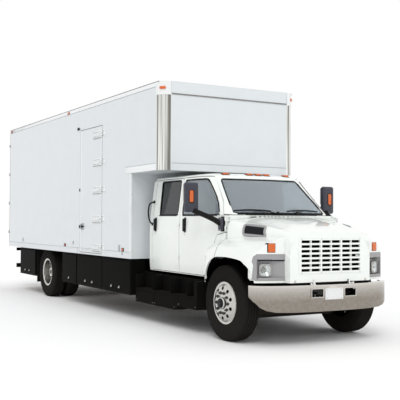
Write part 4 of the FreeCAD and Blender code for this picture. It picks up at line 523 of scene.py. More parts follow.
# Forged alloy, turned then polished: faint rings round the hub
POLISHED_ALLOY = Finish("polished_alloy", "#C9C8C4", 0.2, Pattern.TURNED, metallic=1, scale_mm=2.5, depth_mm=0.03)
# Laminated glass with a grey-green body tint
TINTED_GLASS = Finish("tinted_glass", "#C3CFD6", 0.03, clear=0.68)
# Privacy glass in the rear doors: deep grey
DARK_GLASS = Finish("dark_glass", "#2B3135", 0.03, clear=0.66)
# Moulded acrylic lenses with fine ribs inside
AMBER_LENS = Finish("amber_acrylic", "#F2701D", 0.12, Pattern.RIBS, clear=0.25, coat=0.4, scale_mm=12, depth_mm=0.8)
RED_LENS = Finish("red_acrylic", "#B51912", 0.12, Pattern.RIBS, clear=0.2, coat=0.4, scale_mm=12, depth_mm=0.8)
# Hard-coated polycarbonate: colourless and very smooth
CLEAR_LENS = Finish("clear_polycarbonate", "#F4F7F7", 0.04, clear=0.92, ior=1.45)
# Unpainted moulded plastic: an even grain that kills the gloss
GREY_PLASTIC = Finish("moulded_grey_plastic", "#9F9EA0", 0.5, Pattern.GRAIN, scale_mm=2, depth_mm=0.12, dirt_and_painted_reflection=0.1)
BLACK_PLASTIC = Finish("moulded_black_plastic", "#17181B", 0.34, Pattern.GRAIN, scale_mm=2, depth_mm=0.08,
    specular=0.2, slot="trim_grey")
# Mirror shells in violet-black plastic with a soft gloss
MIRROR_SHELL = Finish("mirror_shell_plastic", "#3A3A46", 0.28, Pattern.GRAIN, scale_mm=2, depth_mm=0.05, specular=0.4)
# Phosphated steel nuts: dark and dull
DARK_STEEL = Finish("phosphated_steel", "#5C5B59", 0.5, Pattern.CAST, metallic=1, scale_mm=5, depth_mm=0.05,
    slot="polished_rim")
# Aluminised reflector bowl behind a lens
REFLECTOR = Finish("aluminised_reflector", "#E4E5E6", 0.12, metallic=1)
# Bright zinc on hinges, latches and rivets: a fine spangle
ZINC = Finish("zinc_plate", "#B7BABC", 0.36, Pattern.CAST, metallic=1, scale_mm=6, depth_mm=0.05,
    slot="polished_post")
# Extruded aluminium as it left the die
MILL_ALUMINIUM = Finish("mill_aluminium", "#C3C5C6", 0.42, Pattern.BRUSHED, metallic=1, scale_mm=5, depth_mm=0.03,
    slot="polished_post")
# Sand-cast axles and hubs under chassis paint: a coarse skin
CAST_IRON = Finish("painted_cast_iron", "#141312", 0.7, Pattern.CAST, scale_mm=7, depth_mm=0.5, dirt_and_painted_reflection=0.2,
    specular=0.12, slot="cast_iron")
# Engine enamel sprayed over rough castings
ENGINE_GREY = Finish("engine_enamel", "#4A4E50", 0.5, Pattern.CAST, scale_mm=9, depth_mm=0.6, dirt_and_painted_reflection=0.3)
# Packed cooler fins: fine upright ribs
COOLER_FINS = Finish("cooler_fins", "#101214", 0.6, Pattern.RIBS, scale_mm=7, depth_mm=1.0, specular=0.1)
# Oiled hardwood laid in boards: brown, darker at each joint
OAK_BOARDS = Finish("oiled_oak_boards", "#A67D4E", 0.5, Pattern.BOARDS, scale_mm=140, depth_mm=0.6, second="#7D5930")
# Woven polyester: two crossed yarns, dull
SEAT_CLOTH = Finish("woven_seat_cloth", "#5A5B5E", 0.9, Pattern.WEAVE, scale_mm=5, depth_mm=0.5, second="#46484C")
# Moulded vinyl on doors and dashboard: fine leather grain
TRIM_VINYL = Finish("moulded_trim", "#5E5D5B", 0.6, Pattern.GRAIN, scale_mm=3, depth_mm=0.2)
# Stoved white on a thin pressed plate
PLATE_WHITE = Finish("plate_enamel", "#E6E7E6", 0.35, Pattern.PAINT, scale_mm=9, depth_mm=0.05)
# Silvered back of clear glass
MIRROR_GLASS = Finish("silvered_mirror", "#DDE2E4", 0.02, metallic=1)
# Rubberised coating inside the hood, fenders and bumper: black, rough, without shine; on the front rims' inner faces
# the same black is painted shade
UNDERSIDE = Finish("coating_and_painted_shade", "#060606", 0.85, Pattern.CAST, scale_mm=9, depth_mm=0.4, specular=0.0)
# Bulb glass, faintly warm
BULB_GLASS = Finish("bulb_glass", "#F3EFE2", 0.05, clear=0.6, ior=1.45)
# Varnished plywood lining: pale, with the veneer's long grain
LINING_PLY = Finish("varnished_plywood", "#C9AE83", 0.45, Pattern.BOARDS, scale_mm=610, depth_mm=0.2,
    second="#BC9F72")
# White gelcoated corner castings: thicker and smoother than the sheet
CAST_WHITE = Finish("cast_corner_enamel", "#EEF0F0", 0.28, Pattern.PAINT, coat=0.4, scale_mm=30, depth_mm=0.25,
    dirt_and_painted_reflection=0.1)
# Roof sheet: stretched over bows, with slow waves
ROOF_SKIN = Finish("roof_sheet", "#DCDFE1", 0.4, Pattern.PAINT, scale_mm=600, depth_mm=1.6, dirt_and_painted_reflection=0.1)


def linear(text: str) -> tuple[float, float, float, float]:
    """Turn an sRGB hex colour into a linear one.

    Args:
        text: such as "#A1B2C3".

    Returns:
        Red, green, blue and alpha.
    """
    parts = np.array([int(text[k:k + 2], 16) for k in (1, 3, 5)]) / 255
    value = np.where(parts <= 0.04045, parts / 12.92, ((parts + 0.055) / 1.055) ** 2.4)
    return (float(value[0]), float(value[1]), float(value[2]), 1.0)


def add_node(tree: bpy.types.NodeTree, kind: str, settings: Optional[dict[str, Any]] = None,
        links: Optional[dict[Any, Any]] = None) -> bpy.types.Node:
    """Add a node with its settings and links.

    Args:
        tree: the material's or world's node tree.
        kind: the shader node's type, without its prefix.
        settings: attribute or socket name to value.
        links: socket name or number to the output socket that feeds it.

    Returns:
        The new node.
    """
    made = tree.nodes.new(f"ShaderNode{kind}")
    for key, value in (settings or {}).items():
        if isinstance(key, int) or key in made.inputs:
            made.inputs[key].default_value = value
        else:
            setattr(made, key, value)
    for key, socket in (links or {}).items():
        tree.links.new(socket, made.inputs[key])
    return made


class Paintshop:
    """Turns each finish into one procedural material and keeps it."""

    def __init__(self) -> None:
        """Start with no materials."""
        self.made: dict[str, bpy.types.Material] = {}

    def height_of(self, tree: bpy.types.NodeTree, finish: Finish, place: Any) -> Any:
        """Build the height pattern of a finish.

        Args:
            tree: the material's nodes.
            finish: the finish.
            place: the socket with object coordinates in metres.

        Returns:
            The socket with the height, about 0 to 1, or None.
        """
        scale, vector = 1 / (finish.scale_mm * MM), {"Vector": place}
        if finish.pattern is Pattern.PLAIN:
            return None
        if finish.pattern is Pattern.BRUSHED:
            flat = add_node(tree, "Mapping", {"Scale": (scale, scale, scale / 200)}, vector)
            return add_node(tree, "TexNoise", {"Scale": 1.0, "Detail": 2.0},
                {"Vector": flat.outputs[0]}).outputs["Fac"]
        if finish.pattern is Pattern.PLATE:
            turned = add_node(tree, "Mapping", {"Rotation": (0, 0, math.radians(45)), "Scale": (scale, scale * 0.45,
                scale)}, vector)
            return add_node(tree, "TexVoronoi", {"Scale": 1.0, "Randomness": 0.0, "distance": "CHEBYCHEV"},
                {"Vector": turned.outputs[0]}).outputs["Distance"]
        wave = scale / 6.28
        if finish.pattern is Pattern.WEAVE:
            waves = [add_node(tree, "TexWave", {"Scale": wave, "bands_direction": way}, vector).outputs["Fac"]
                for way in ("X", "Z")]
            return add_node(tree, "Math", {"operation": "MAXIMUM"}, dict(enumerate(waves))).outputs[0]
        kind, settings = {Pattern.TURNED: ("TexNoise", {"Scale": scale * 0.3, "Detail": 2.0}),
            Pattern.RIBS: ("TexWave", {"Scale": wave, "bands_direction": "X"}), Pattern.BOARDS: ("TexWave",
            {"Scale": wave, "Distortion": 0.0, "wave_profile": "SAW"}), Pattern.RUBBER: ("TexNoise",
            {"Scale": scale, "Detail": 6.0}), Pattern.CAST: ("TexNoise", {"Scale": scale, "Detail": 5.0}),}.get(
            finish.pattern, ("TexNoise", {"Scale": scale, "Detail": 2.0}))
        return add_node(tree, kind, settings, vector).outputs["Fac"]

    def material(self, finish: Finish) -> bpy.types.Material:
        """Build a finish's material once and return it.

        Args:
            finish: the finish.

        Returns:
            Its material.
        """
        if finish.name in self.made:
            return self.made[finish.name]
        made = bpy.data.materials.new(finish.name)
        made.use_nodes = True
        tree = made.node_tree
        tree.nodes.clear()
        place = add_node(tree, "TexCoord").outputs["Object"]
        settings = {"Base Color": linear(finish.colour), "Roughness": finish.roughness, "Metallic": finish.metallic,
            "Coat Weight": finish.coat, "Coat Roughness": 0.05, "Transmission Weight": finish.clear}
        if not finish.metallic:
            settings["IOR"], settings["Specular IOR Level"] = finish.ior, finish.specular
        shader = add_node(tree, "BsdfPrincipled", settings)
        height = self.height_of(tree, finish, place)
        if height is not None:
            bump = add_node(tree, "Bump", {"Strength": 1.0, "Distance": finish.depth_mm * MM}, {"Height": height})
            tree.links.new(bump.outputs[0], shader.inputs["Normal"])
        if not finish.clear:
            self.vary(tree, finish, shader, place, height)
        add_node(tree, "OutputMaterial", {}, {"Surface": shader.outputs[0]})
        self.made[finish.name] = made
        return made

    def vary(self, tree: bpy.types.NodeTree, finish: Finish, shader: Any, place: Any, height: Any) -> None:
        """Vary colour and roughness: slow mottling, painted reflection streaks where the finish has them, and a tint
        that fades upwards, road film on most finishes and a painted reflection on the bumper.

        Args:
            tree: the material's nodes.
            finish: the finish.
            shader: the surface shader.
            place: the socket with object coordinates.
            height: the pattern's socket, or None.
        """
        mottle = add_node(tree, "TexNoise", {"Scale": 3.1, "Detail": 5.0, "Roughness": 0.6}, {"Vector": place})
        base = linear(finish.colour)
        other = linear(finish.second) if finish.second else tuple(c * 0.93 for c in base[:3]) + (1.0,)
        driver = height if finish.second and height is not None else mottle.outputs["Fac"]
        # Painted reflection streaks: noise stretched down the surface, between the pale and the dark colour
        if finish.painted_reflection_streak_mm:
            scale = 1 / (finish.painted_reflection_streak_mm * MM)
            flat = add_node(tree, "Mapping", {"Scale": (scale, scale, scale / 90)}, {"Vector": place})
            lines = add_node(tree, "TexNoise", {"Scale": 1.0, "Detail": 3.0}, {"Vector": flat.outputs[0]})
            driver = add_node(tree, "MapRange", {"From Min": 0.4, "From Max": 0.6},
                {"Value": lines.outputs["Fac"]}).outputs[0]
        colour = add_node(tree, "Mix", {"data_type": "RGBA", 6: base, 7: other}, {0: driver})
        output = colour.outputs[2]
        rough = add_node(tree, "MapRange", {"To Min": finish.roughness * 0.88, "To Max": finish.roughness * 1.16},
            {"Value": mottle.outputs["Fac"]})
        # Tint that fades upwards: road film on most finishes; on the bumper it is a painted reflection, brown low
        # down and bright at the top
        if finish.dirt_and_painted_reflection:
            split = add_node(tree, "SeparateXYZ", {}, {0: place})
            low = add_node(tree, "MapRange", {"From Min": finish.tint_low, "From Max": finish.tint_top, "To Min": 1.0,
                "To Max": 0.0}, {"Value": split.outputs["Z"]})
            bent = add_node(tree, "Math", {"operation": "POWER", 1: finish.tint_curve}, {0: low.outputs[0]})
            depth = add_node(tree, "Math", {"operation": "MULTIPLY", 1: finish.dirt_and_painted_reflection}, {0: bent.outputs[0]})
            spots = add_node(tree, "TexNoise", {"Scale": 22.0, "Detail": 8.0, "Roughness": 0.7}, {"Vector": place})
            patchy = add_node(tree, "MapRange", {"From Min": 0.3, "From Max": 0.7, "To Min": 0.84, "To Max": 1.0},
                {"Value": spots.outputs["Fac"]})
            fade = add_node(tree, "Math", {"operation": "MULTIPLY"}, {0: depth.outputs[0], 1: patchy.outputs[0]})
            dirt_and_painted_reflection_tint = add_node(tree, "Mix", {"data_type": "RGBA", 7: linear(finish.dirt_and_painted_reflection_tint)},
                {0: fade.outputs[0], 6: output})
            output = dirt_and_painted_reflection_tint.outputs[2]
        tree.links.new(output, shader.inputs["Base Color"])
        tree.links.new(rough.outputs[0], shader.inputs["Roughness"])


PAINT = Paintshop()


# Pieces in the scene


def piece(name: str, shape: Shape, finish: Finish, body: str = "chassis",
        sharp: float = 35.0) -> bpy.types.Object:
    """Turn a shape into a piece that rides on a body.

    Args:
        name: the piece's name.
        shape: its points and faces.
        finish: its finish.
        body: the CAD body that it moves with.
        sharp: the angle in degrees past which an edge stays sharp.

    Returns:
        The new object.
    """
    mesh = bpy.data.meshes.new(name)
    mesh.from_pydata(shape.points.tolist(), [], shape.quads.tolist() + shape.tris.tolist())
    work = bmesh.new()
    work.from_mesh(mesh)
    bmesh.ops.recalc_face_normals(work, faces=work.faces)
    work.to_mesh(mesh)
    work.free()
    return place_mesh(name, mesh, finish, body, sharp)


def place_mesh(name: str, mesh: bpy.types.Mesh, finish: Finish, body: str,
        sharp: float) -> bpy.types.Object:
    """Shade a mesh, give it its finish and let it ride.

    Args:
        name: the piece's name.
        mesh: the mesh.
        finish: its finish.
        body: the CAD body.
        sharp: the angle past which an edge stays sharp.

    Returns:
        The new object.
    """
    mesh.polygons.foreach_set("use_smooth", np.ones(len(mesh.polygons), bool))
    mesh.set_sharp_from_angle(angle=math.radians(sharp))
    mesh.materials.clear()
    mesh.materials.append(PAINT.material(finish))
    mesh.update()
    made = bpy.data.objects.new(name, mesh)
    bpy.context.scene.collection.objects.link(made)
    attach(made, body)
    LOG.info("%s: %d faces", name, len(mesh.polygons))
    return made


def rows(items: Any, name: str, kind: type = float) -> Array:
    """Read a vector of three from every vertex, triangle or face at once.

    Args:
        items: the mesh's collection.
        name: the vector's name.
        kind: its number type.

    Returns:
        One row for each item.
    """
    flat = np.zeros(len(items) * 3, kind)
    items.foreach_get(name, flat)
    return flat.reshape(-1, 3)


@dataclass(frozen=True)
class Zone:
    """A part of a surface with its own finish: a box of places, and the side that its faces look to."""

    finish: Finish
    low: tuple[float, float, float] = (-FAR, -FAR, -FAR)
    high: tuple[float, float, float] = (FAR, FAR, FAR)
    facing: tuple[float, float, float] = (0.0, 0.0, 0.0)
    towards: Optional[tuple[float, float, float]] = None

    def picks(self, centres: Array, normals: Array) -> Array:
        """Tell which faces are in the zone.

        Args:
            centres: the faces' middles.
            normals: the faces' normals.

        Returns:
            True for each face in it.
        """
        inside = ((centres > np.array(self.low)) & (centres < np.array(self.high))).all(1)
        if any(self.facing):
            inside &= normals @ np.array(self.facing) > 0.25
        if self.towards is not None:
            run = np.array(self.towards) - centres
            inside &= (normals * run).sum(1) > 0.1 * np.linalg.norm(run, axis=1)
        return inside

    def mirrored(self) -> "Zone":
        """Turn the zone to the truck's other side.

        Returns:
            The zone there.
        """
        low, high = (-self.high[0],) + self.low[1:], (-self.low[0],) + self.high[1:]
        turned = None if self.towards is None else (-self.towards[0],) + self.towards[1:]
        return Zone(self.finish, low, high, (-self.facing[0],) + self.facing[1:], turned)


@dataclass
class Truck:
    """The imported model, with what every sub-assembly needs from it."""

    frame: dict[str, Any]
    body_of: dict[str, str] = field(default_factory=dict)

    def __post_init__(self) -> None:
        """Note each node's body."""
        bodies = self.frame["record"]["behaviour"]["bodies"]
        self.body_of = {node: body for body, nodes in bodies.items() for node in nodes}

    def smoothed(self, node: str, finish: Finish, zones: Sequence[Zone] = (), sharp: float = 24.0,
            bevel: float = 0.0) -> bpy.types.Object:
        """Stand a smooth-shaded copy of a CAD node's own surface in its place.

        Args:
            node: the CAD node.
            finish: its finish.
            zones: parts of its surface with other finishes.
            sharp: the angle past which an edge stays sharp.
            bevel: how far sharp edges are rounded.

        Returns:
            The new piece.
        """
        mesh = self.frame["nodes"][node].data.copy()
        work = bmesh.new()
        work.from_mesh(mesh)
        bmesh.ops.remove_doubles(work, verts=work.verts, dist=2e-5)
        if bevel:
            bmesh.ops.dissolve_limit(work, angle_limit=math.radians(0.6), verts=work.verts, edges=work.edges)
        work.to_mesh(mesh)
        work.free()
        made = place_mesh(f"{node}_surface", mesh, finish, self.body_of[node], sharp)
        centres, normals = rows(mesh.polygons, "center"), rows(mesh.polygons, "normal")
        index = np.zeros(len(centres), int)
        for number, zone in enumerate(zones, start=1):
            mesh.materials.append(PAINT.material(zone.finish))
            index[zone.picks(centres, normals)] = number
        mesh.polygons.foreach_set("material_index", index)
        mesh.update()
        if bevel:
            rounding = made.modifiers.new("edges", "BEVEL")
            rounding.width, rounding.segments = bevel, 2
            rounding.limit_method, rounding.angle_limit = "ANGLE", math.radians(38)
        even = made.modifiers.new("even", "WEIGHTED_NORMAL")
        even.keep_sharp = True
        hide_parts(node)
        return made


class Skin:
    """The surface of some CAD nodes, for laying trim on it."""

    def __init__(self, truck: Truck, *nodes: str) -> None:
        """Gather the nodes' triangles.

        Args:
            truck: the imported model.
            nodes: the CAD nodes' names.
        """
        corners = []
        for node in nodes:
            mesh = truck.frame["nodes"][node].data
            mesh.calc_loop_triangles()
            corners.append(rows(mesh.vertices, "co")[rows(mesh.loop_triangles, "vertices", int)])
        self.corners = np.concatenate(corners)

    def drop(self, points: Array, way: Floats, lift: float = 0.0, even: int = 0) -> Array:
        """Carry points along a direction to the surface: each triangle it passes, by its barycentric shares.

        Args:
            points: where the lines start.
            way: their direction.
            lift: how far short of the surface they stop.
            even: for a closed line, how many neighbours on each side even out its depth, by their median.

        Returns:
            The places; a line that misses takes its depth from its neighbours.
        """
        run = np.array(way, float) / np.linalg.norm(way)
        side = np.cross(run, np.eye(3)[int(np.argmin(np.abs(run)))])
        side /= np.linalg.norm(side)
        plane = np.stack([side, np.cross(run, side)], -1)
        flat = np.asarray(points, float).reshape(-1, 3)
        spot, tri = flat @ plane, self.corners @ plane
        near = (tri.max(1) >= spot.min(0)).all(1) & (tri.min(1) <= spot.max(0)).all(1)
        first, second = tri[:, 1] - tri[:, 0], tri[:, 2] - tri[:, 0]
        area = first[:, 0] * second[:, 1] - first[:, 1] * second[:, 0]
        near &= np.abs(area) > 1e-12
        tri, first, second, area = tri[near], first[near], second[near], area[near]
        away = spot[:, None] - tri[None, :, 0]
        s = (away[..., 0] * second[:, 1] - away[..., 1] * second[:, 0]) / area
        t = (first[:, 0] * away[..., 1] - first[:, 1] * away[..., 0]) / area
        deep = self.corners[near] @ run
        depth = deep[:, 0] + s * (deep[:, 1] - deep[:, 0]) + t * (deep[:, 2] - deep[:, 0]) - (flat @ run)[:, None]
        hit = (s > -1e-6) & (t > -1e-6) & (s + t < 1 + 1e-6) & (depth > 0)
        reach = np.where(hit, depth, np.inf).min(1)
        order, known = np.arange(len(reach)), np.isfinite(reach)
        reach = np.interp(order, order[known], reach[known])
        if even:
            reach = np.median([np.roll(reach, k) for k in range(-even, even + 1)], axis=0)
            reach = np.mean([np.roll(reach, k) for k in range(-1, 2)], axis=0)
        return (flat + (reach - lift)[:, None] * run).reshape(np.shape(points))

    def panel(self, grid: Array, way: Floats, lift: float, thick: float) -> Shape:
        """Lay a thin closed panel on the surface: the dropped grid, and the same grid again below it.

        Args:
            grid: points (u, v, 3) in front of the surface.
            way: the direction towards it.
            lift: how far the outer side stands off.
            thick: the panel's thickness.

        Returns:
            The panel.
        """
        outer = self.drop(grid, way, lift)
        run = np.array(way, float) / np.linalg.norm(way)
        ring = np.concatenate([outer, (outer + run * thick)[:, ::-1]], 1)
        return surface(ring, wrap_v=True, caps=True)


@dataclass
class Assembly:
    """A part of the truck, dressed around its CAD nodes."""

    truck: Truck

    def build(self) -> None:
        """Build every piece; each assembly has its own way."""
        raise NotImplementedError


# Wheels


@dataclass
class Wheels(Assembly):
    """Tyres with tread, nuts and hub covers."""

    radius: float = 0.526
    half: float = 0.1395
    bead: float = 0.104
    seat: float = 0.2843
    groove_deep: float = 0.013
    groove_wide: float = 0.01
    pitches: int = 58
    front_x: float = 1.0175
    twin_x: tuple[float, float] = (1.0925, 0.7625)
    rim_face: float = 1.135
    rear_disc: float = 0.9415
    nut_pitch: float = 0.143

    def tyre(self, drive: bool) -> Shape:
        """Build a tyre: radius = profile less grooves, where the grooves run round and, by angle, across.

        Args:
            drive: deep blocks across the tread instead of ribs.

        Returns:
            The tyre about the x axis.
        """
        side = curve([(self.bead, self.seat + 0.002), (0.114, 0.3), (0.1285, 0.33), (0.138, 0.378),
            (self.half, 0.405), (0.1368, 0.44), (0.1295, 0.478), (0.1215, 0.5)], 18)
        ring = np.zeros(len(side))
        ring[[4, 11]] = 0.0016
        side[:, 0] = np.minimum(side[:, 0] + ring, self.half)
        tread_x = [0.1175, 0.112, 0.1045, 0.0885]
        for centre in (0.0665, 0.0225):
            w = self.groove_wide / 2
            tread_x += [centre + w, centre + w * 0.6, centre - w * 0.6, centre - w]
        tread_x = np.array(tread_x + [0.009])
        tread_r = np.interp(tread_x, [0, 0.05, 0.095, 0.106, 0.112, 0.118], [0.526, 0.5255, 0.5235, 0.5195, 0.514,
            0.506])
        deep = np.zeros(len(tread_x))
        deep[[5, 6, 9, 10]] = self.groove_deep
        half_x = np.concatenate([side[:, 0], tread_x])
        half_r = np.concatenate([side[:, 1], tread_r - deep])
        x = np.concatenate([half_x, -half_x[::-1]])
        r = np.concatenate([half_r, half_r[::-1]])
        x = np.concatenate([x, [-self.bead + 0.01, self.bead - 0.01]])
        r = np.concatenate([r, [self.seat, self.seat]])
        step = self.pitches * 4
        angle = np.arange(step) / step * 2 * np.pi
        skew = np.abs(x) * (2.0 if drive else 1.2)
        phase = ((angle[None] + skew[:, None]) / (2 * np.pi) * self.pitches) % 1
        slot = (phase < 0.27).astype(float)
        edge = np.abs(x) > (0.004 if drive else 0.086)
        tread = (r > 0.5) & edge
        cut = slot * tread[:, None] * (self.groove_deep * 0.8 if drive else 0.006)
        radius = r[:, None] - cut
        grid = np.stack([np.repeat(x[:, None], step, 1), radius * np.cos(angle), radius * np.sin(angle)], -1)
        return surface(grid, wrap_u=True, wrap_v=True)

    def nuts(self, x: float, side: int) -> Shape:
        """Build ten nuts on their ring: each a hexagon with a washer and a stud's tip.

        Args:
            x: the place of the disc's face.
            side: 1 outwards along +x, -1 along -x.

        Returns:
            The ring of nuts about the x axis.
        """
        nut = joined([lathe([(0.0, 0.024), (0.004, 0.024), (0.004, 0.019)], "x", 16),
            lathe([(0.003, 0.0185), (0.02, 0.0185), (0.024, 0.013)], "x", 6),
            lathe([(0.022, 0.01), (0.034, 0.01), (0.036, 0.007)], "x", 10)])
        return joined([nut.moved(x, 0, self.nut_pitch).turned("x", 36 * k + 18) for k in range(10)]).on(side)

    def build(self) -> None:
        """Dress the four wheel sets."""
        steer, drive = self.tyre(False), self.tyre(True)
        for name, side in SIDES.items():
            body = f"{name}_front_wheel"
            centre = dict(y=AXLE_Y, z=self.radius)
            tyre = piece(f"{name}_steer_tyre", steer.moved(x=side * self.front_x, **centre), TYRE_RUBBER, body,
                sharp=40)
            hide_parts(f"{name}_front_tyre")
            # The rim's inner faces take the near-black: painted shade behind the hand holes
            inner = sorted((0.0, side * self.front_x))
            self.truck.smoothed(f"{name}_front_rim", POLISHED_ALLOY,
                [Zone(UNDERSIDE, (inner[0], -FAR, -FAR), (inner[1], FAR, FAR))])
            piece(f"{name}_front_nuts", self.nuts(self.rim_face + 0.04, side).moved(**centre), DARK_STEEL, body)
            cap = lathe([(self.rim_face + 0.044, 0.083), (self.rim_face + 0.052, 0.082),
                (self.rim_face + 0.06, 0.066), (self.rim_face + 0.086, 0.0585), (self.rim_face + 0.0925, 0.048),
                (self.rim_face + 0.0935, 0.02)], "x", 40)
            piece(f"{name}_hub_cover", cap.on(side).moved(**centre), BLACK_PLASTIC, body)
            drum = lathe([(0.998, 0.12), (1.004, 0.222), (1.108, 0.228), (1.122, 0.19), (1.126, 0.1)], "x", 48)
            piece(f"{name}_brake_drum", drum.on(side).moved(**centre), CAST_IRON, body)
            body = f"{name}_rear_wheels"
            centre = dict(y=REAR_Y, z=self.radius)
            twins = joined([drive.moved(x=side * x, **centre) for x in self.twin_x])
            tyres = piece(f"{name}_drive_tyres", twins, TYRE_RUBBER, body, sharp=40)
            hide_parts(f"{name}_rear_tyres")
            self.truck.smoothed(f"{name}_rear_rims", POLISHED_ALLOY)
            piece(f"{name}_rear_nuts", self.nuts(self.rear_disc, side).moved(**centre), DARK_STEEL, body)


# Cab, doors and mirrors


@dataclass
class Cab(Assembly):
    """Cab skin, window rubbers, wipers, door furniture and mirrors."""

    front_window: Outline = ((404, 1750), (536, 1922), (925, 2287), (1477, 2287), (1477, 1750))
    rear_window: Outline = ((1627, 1750), (2235, 1750), (2262, 2287), (1632, 2287))
    screen: Outline = ((-824, 1777), (824, 1777), (695, 2288), (-695, 2288))
    back_light: Outline = ((-595, 1795), (595, 1795), (595, 2242), (-595, 2242))
    beside: float = 1200
    ahead: float = -300
    doors: dict[str, float] = field(default_factory=lambda: {"front": 1368.0, "rear": 2351.0})

    def shells(self) -> None:
        """Stand smooth skins for the shell, doors and glass, with trimmed inner sides."""
        inner = Zone(TRIM_VINYL, towards=tuple(at(0, 1500, 1600)), low=(-0.975, -FAR, 0.8), high=(0.975, FAR, 2.37))
        self.truck.smoothed("cab_shell", CAB_ENAMEL, [inner])
        self.truck.smoothed("cab_glass", TINTED_GLASS)
        for name, side in SIDES.items():
            for door, handle_y in self.doors.items():
                lining = Zone(TRIM_VINYL, (-0.975, -FAR, 0), (0.975, FAR, FAR), facing=(-side, 0, 0))
                y = row_y(handle_y)
                span = sorted((side * 1.0035, side * 1.2))
                grip = Zone(BLACK_PLASTIC, (span[0], y - 0.03, 1.48), (span[1], y + 0.03, 1.7))
                self.truck.smoothed(f"{name}_{door}_door", CAB_ENAMEL, [lining, grip])
                self.truck.smoothed(f"{name}_{door}_glass", TINTED_GLASS if door == "front" else DARK_GLASS)

    def rubbers(self) -> None:
        """Fit the rubber round each window: a rounded outline dropped onto the skin."""
        for door, corners in (("front", self.front_window), ("rear", self.rear_window)):
            line = rounded(corners, 34, 30)
            middle = line.mean(0)
            line = line + np.sign(line - middle) * 4
            skin = Skin(self.truck, f"left_{door}_door", f"left_{door}_glass", "cab_shell")
            placed = skin.drop(at(self.beside, line[:, 0], line[:, 1]), RIGHT, even=3)
            seal = strip(placed, (1, 0, 0.12), 0.02, 0.005, sink=0.012)
            sill = at(self.beside, np.linspace(line[:, 0].min() + 30, line[:, 0].max() - 20, 14), 1738)
            belt = strip(skin.drop(sill, RIGHT), LEFT, 0.016, 0.006, loop=False)
            for name, side in SIDES.items():
                piece(f"{name}_{door}_window_rubber", joined([seal, belt]).on(side), SEAL_RUBBER,
                    f"{name}_{door}_cab_door")
        skin = Skin(self.truck, "cab_shell", "cab_glass")
        line = rounded(self.screen, 46, 24)
        line = line + np.sign(line - line.mean(0)) * 3
        placed = skin.drop(at(line[:, 0], self.ahead, line[:, 1]), BACK, even=3)
        bend = np.sign(placed[:, 0]) * np.abs(placed[:, 0] / 0.8) ** 2 * 0.75
        out = np.stack([bend, np.full(len(bend), -0.65), np.full(len(bend), 0.7)], -1)
        piece("windshield_rubber", strip(placed, out, 0.02, 0.005, sink=0.014), SEAL_RUBBER)
        line = rounded(self.back_light, 60, 60)
        line = line + np.sign(line - line.mean(0)) * 6
        placed = skin.drop(at(line[:, 0], 3000, line[:, 1]), FRONT)
        piece("back_light_rubber", strip(placed, (0, 1, 0.1), 0.034, 0.006, sink=0.014), SEAL_RUBBER)

    def screen_gear(self) -> None:
        """Fit two wipers and the cowl panel under the windshield with its slots."""
        skin = Skin(self.truck, "cab_shell", "cab_glass")
        across, down = np.meshgrid(np.linspace(-775, 775, 48), [1775.0, 1762, 1750, 1741], indexing="ij")
        cowl = skin.panel(at(across, self.ahead, down), BACK, 0.004, 0.006)
        slots = [skin.panel(at(*np.broadcast_arrays(x + np.linspace(-26, 26, 4)[:, None], -300.0,
            np.array([1766.0, 1751]))), BACK, 0.0065, 0.003) for x in np.arange(-715, 716, 65)]
        piece("cowl_panel", cowl, BLACK_PLASTIC)
        piece("cowl_slots", joined(slots), SEAL_RUBBER)
        parts = []
        for pivot, start, end in ((-150, -800, -230), (190, 60, 690)):
            x = np.linspace(start, end, 18)
            rise = 1806 + 16 * np.sin(np.pi * (x - start) / (end - start))
            parts.append(tube(skin.drop(at(x, self.ahead, rise), BACK, 0.012), 0.006, 6, (1.0, 1.7)))
            parts.append(tube(skin.drop(at(x[3:-3], self.ahead, rise[3:-3] + 1), BACK, 0.024), 0.005, 6, (1.6, 0.8)))
            reach = np.linspace(0, 1, 12)
            arm = at(pivot + (((start + end) / 2) - pivot) * reach, self.ahead, 1768 + 54 * np.sin(reach * np.pi / 2))
            parts.append(tube(skin.drop(arm, BACK, 0.034), 0.0075, 8, (1.5, 0.7)))
            foot = skin.drop(at([pivot], self.ahead, [1766]), BACK, 0.0)[0]
            parts.append(lathe([(-0.004, 0.021), (0.02, 0.021), (0.034, 0.015), (0.04, 0.015)], "z", 16).turned("x",
                50).moved(*foot))
        piece("wipers", joined(parts), BLACK_PLASTIC)

    def side_gear(self) -> None:
        """Fit drip rails, grab handles and handle plates with locks."""
        skin = Skin(self.truck, "cab_shell")
        rail = strip(skin.drop(at(self.beside, np.linspace(905, 2520, 30), 2344), RIGHT), (1, 0, 0.8), 0.02, 0.013,
            sink=0.004, loop=False)
        grab = tube(curve(at([962, 1044, 1070, 1066, 1040, 996], [2492, 2492, 2494, 2495, 2494, 2492],
            [1968, 1935, 1840, 1730, 1640, 1598]), 40), 0.013, 10)
        feet = joined([bar((950, 972), (2466, 2518), (1942, 1992), 8), bar((990, 1004), (2466, 2518), (1572, 1622),
            6)])
        for name, side in SIDES.items():
            piece(f"{name}_drip_rail", rail.on(side), CAB_ENAMEL)
            piece(f"{name}_grab_handle", joined([grab, feet]).on(side), BLACK_PLASTIC)
            for door, handle_y in self.doors.items():
                body = f"{name}_{door}_cab_door"
                base = plate(rectangle("x", 998, (handle_y - 27, handle_y + 27), (1472, 1708), 24), LEFT, 0.008,
                    0.003)
                pull = bar((1030, 1041), (handle_y - 20, handle_y + 20), (1500, 1680), 5)
                piece(f"{name}_{door}_handle_plate", joined([base, pull]).on(side), BLACK_PLASTIC, body)
                lock = lathe([(0, 0.012), (0.006, 0.012), (0.008, 0.009)], "x", 16).moved(*at(999, handle_y, 1446))
                piece(f"{name}_{door}_lock", lock.on(side), CHROME_PLATE, body)

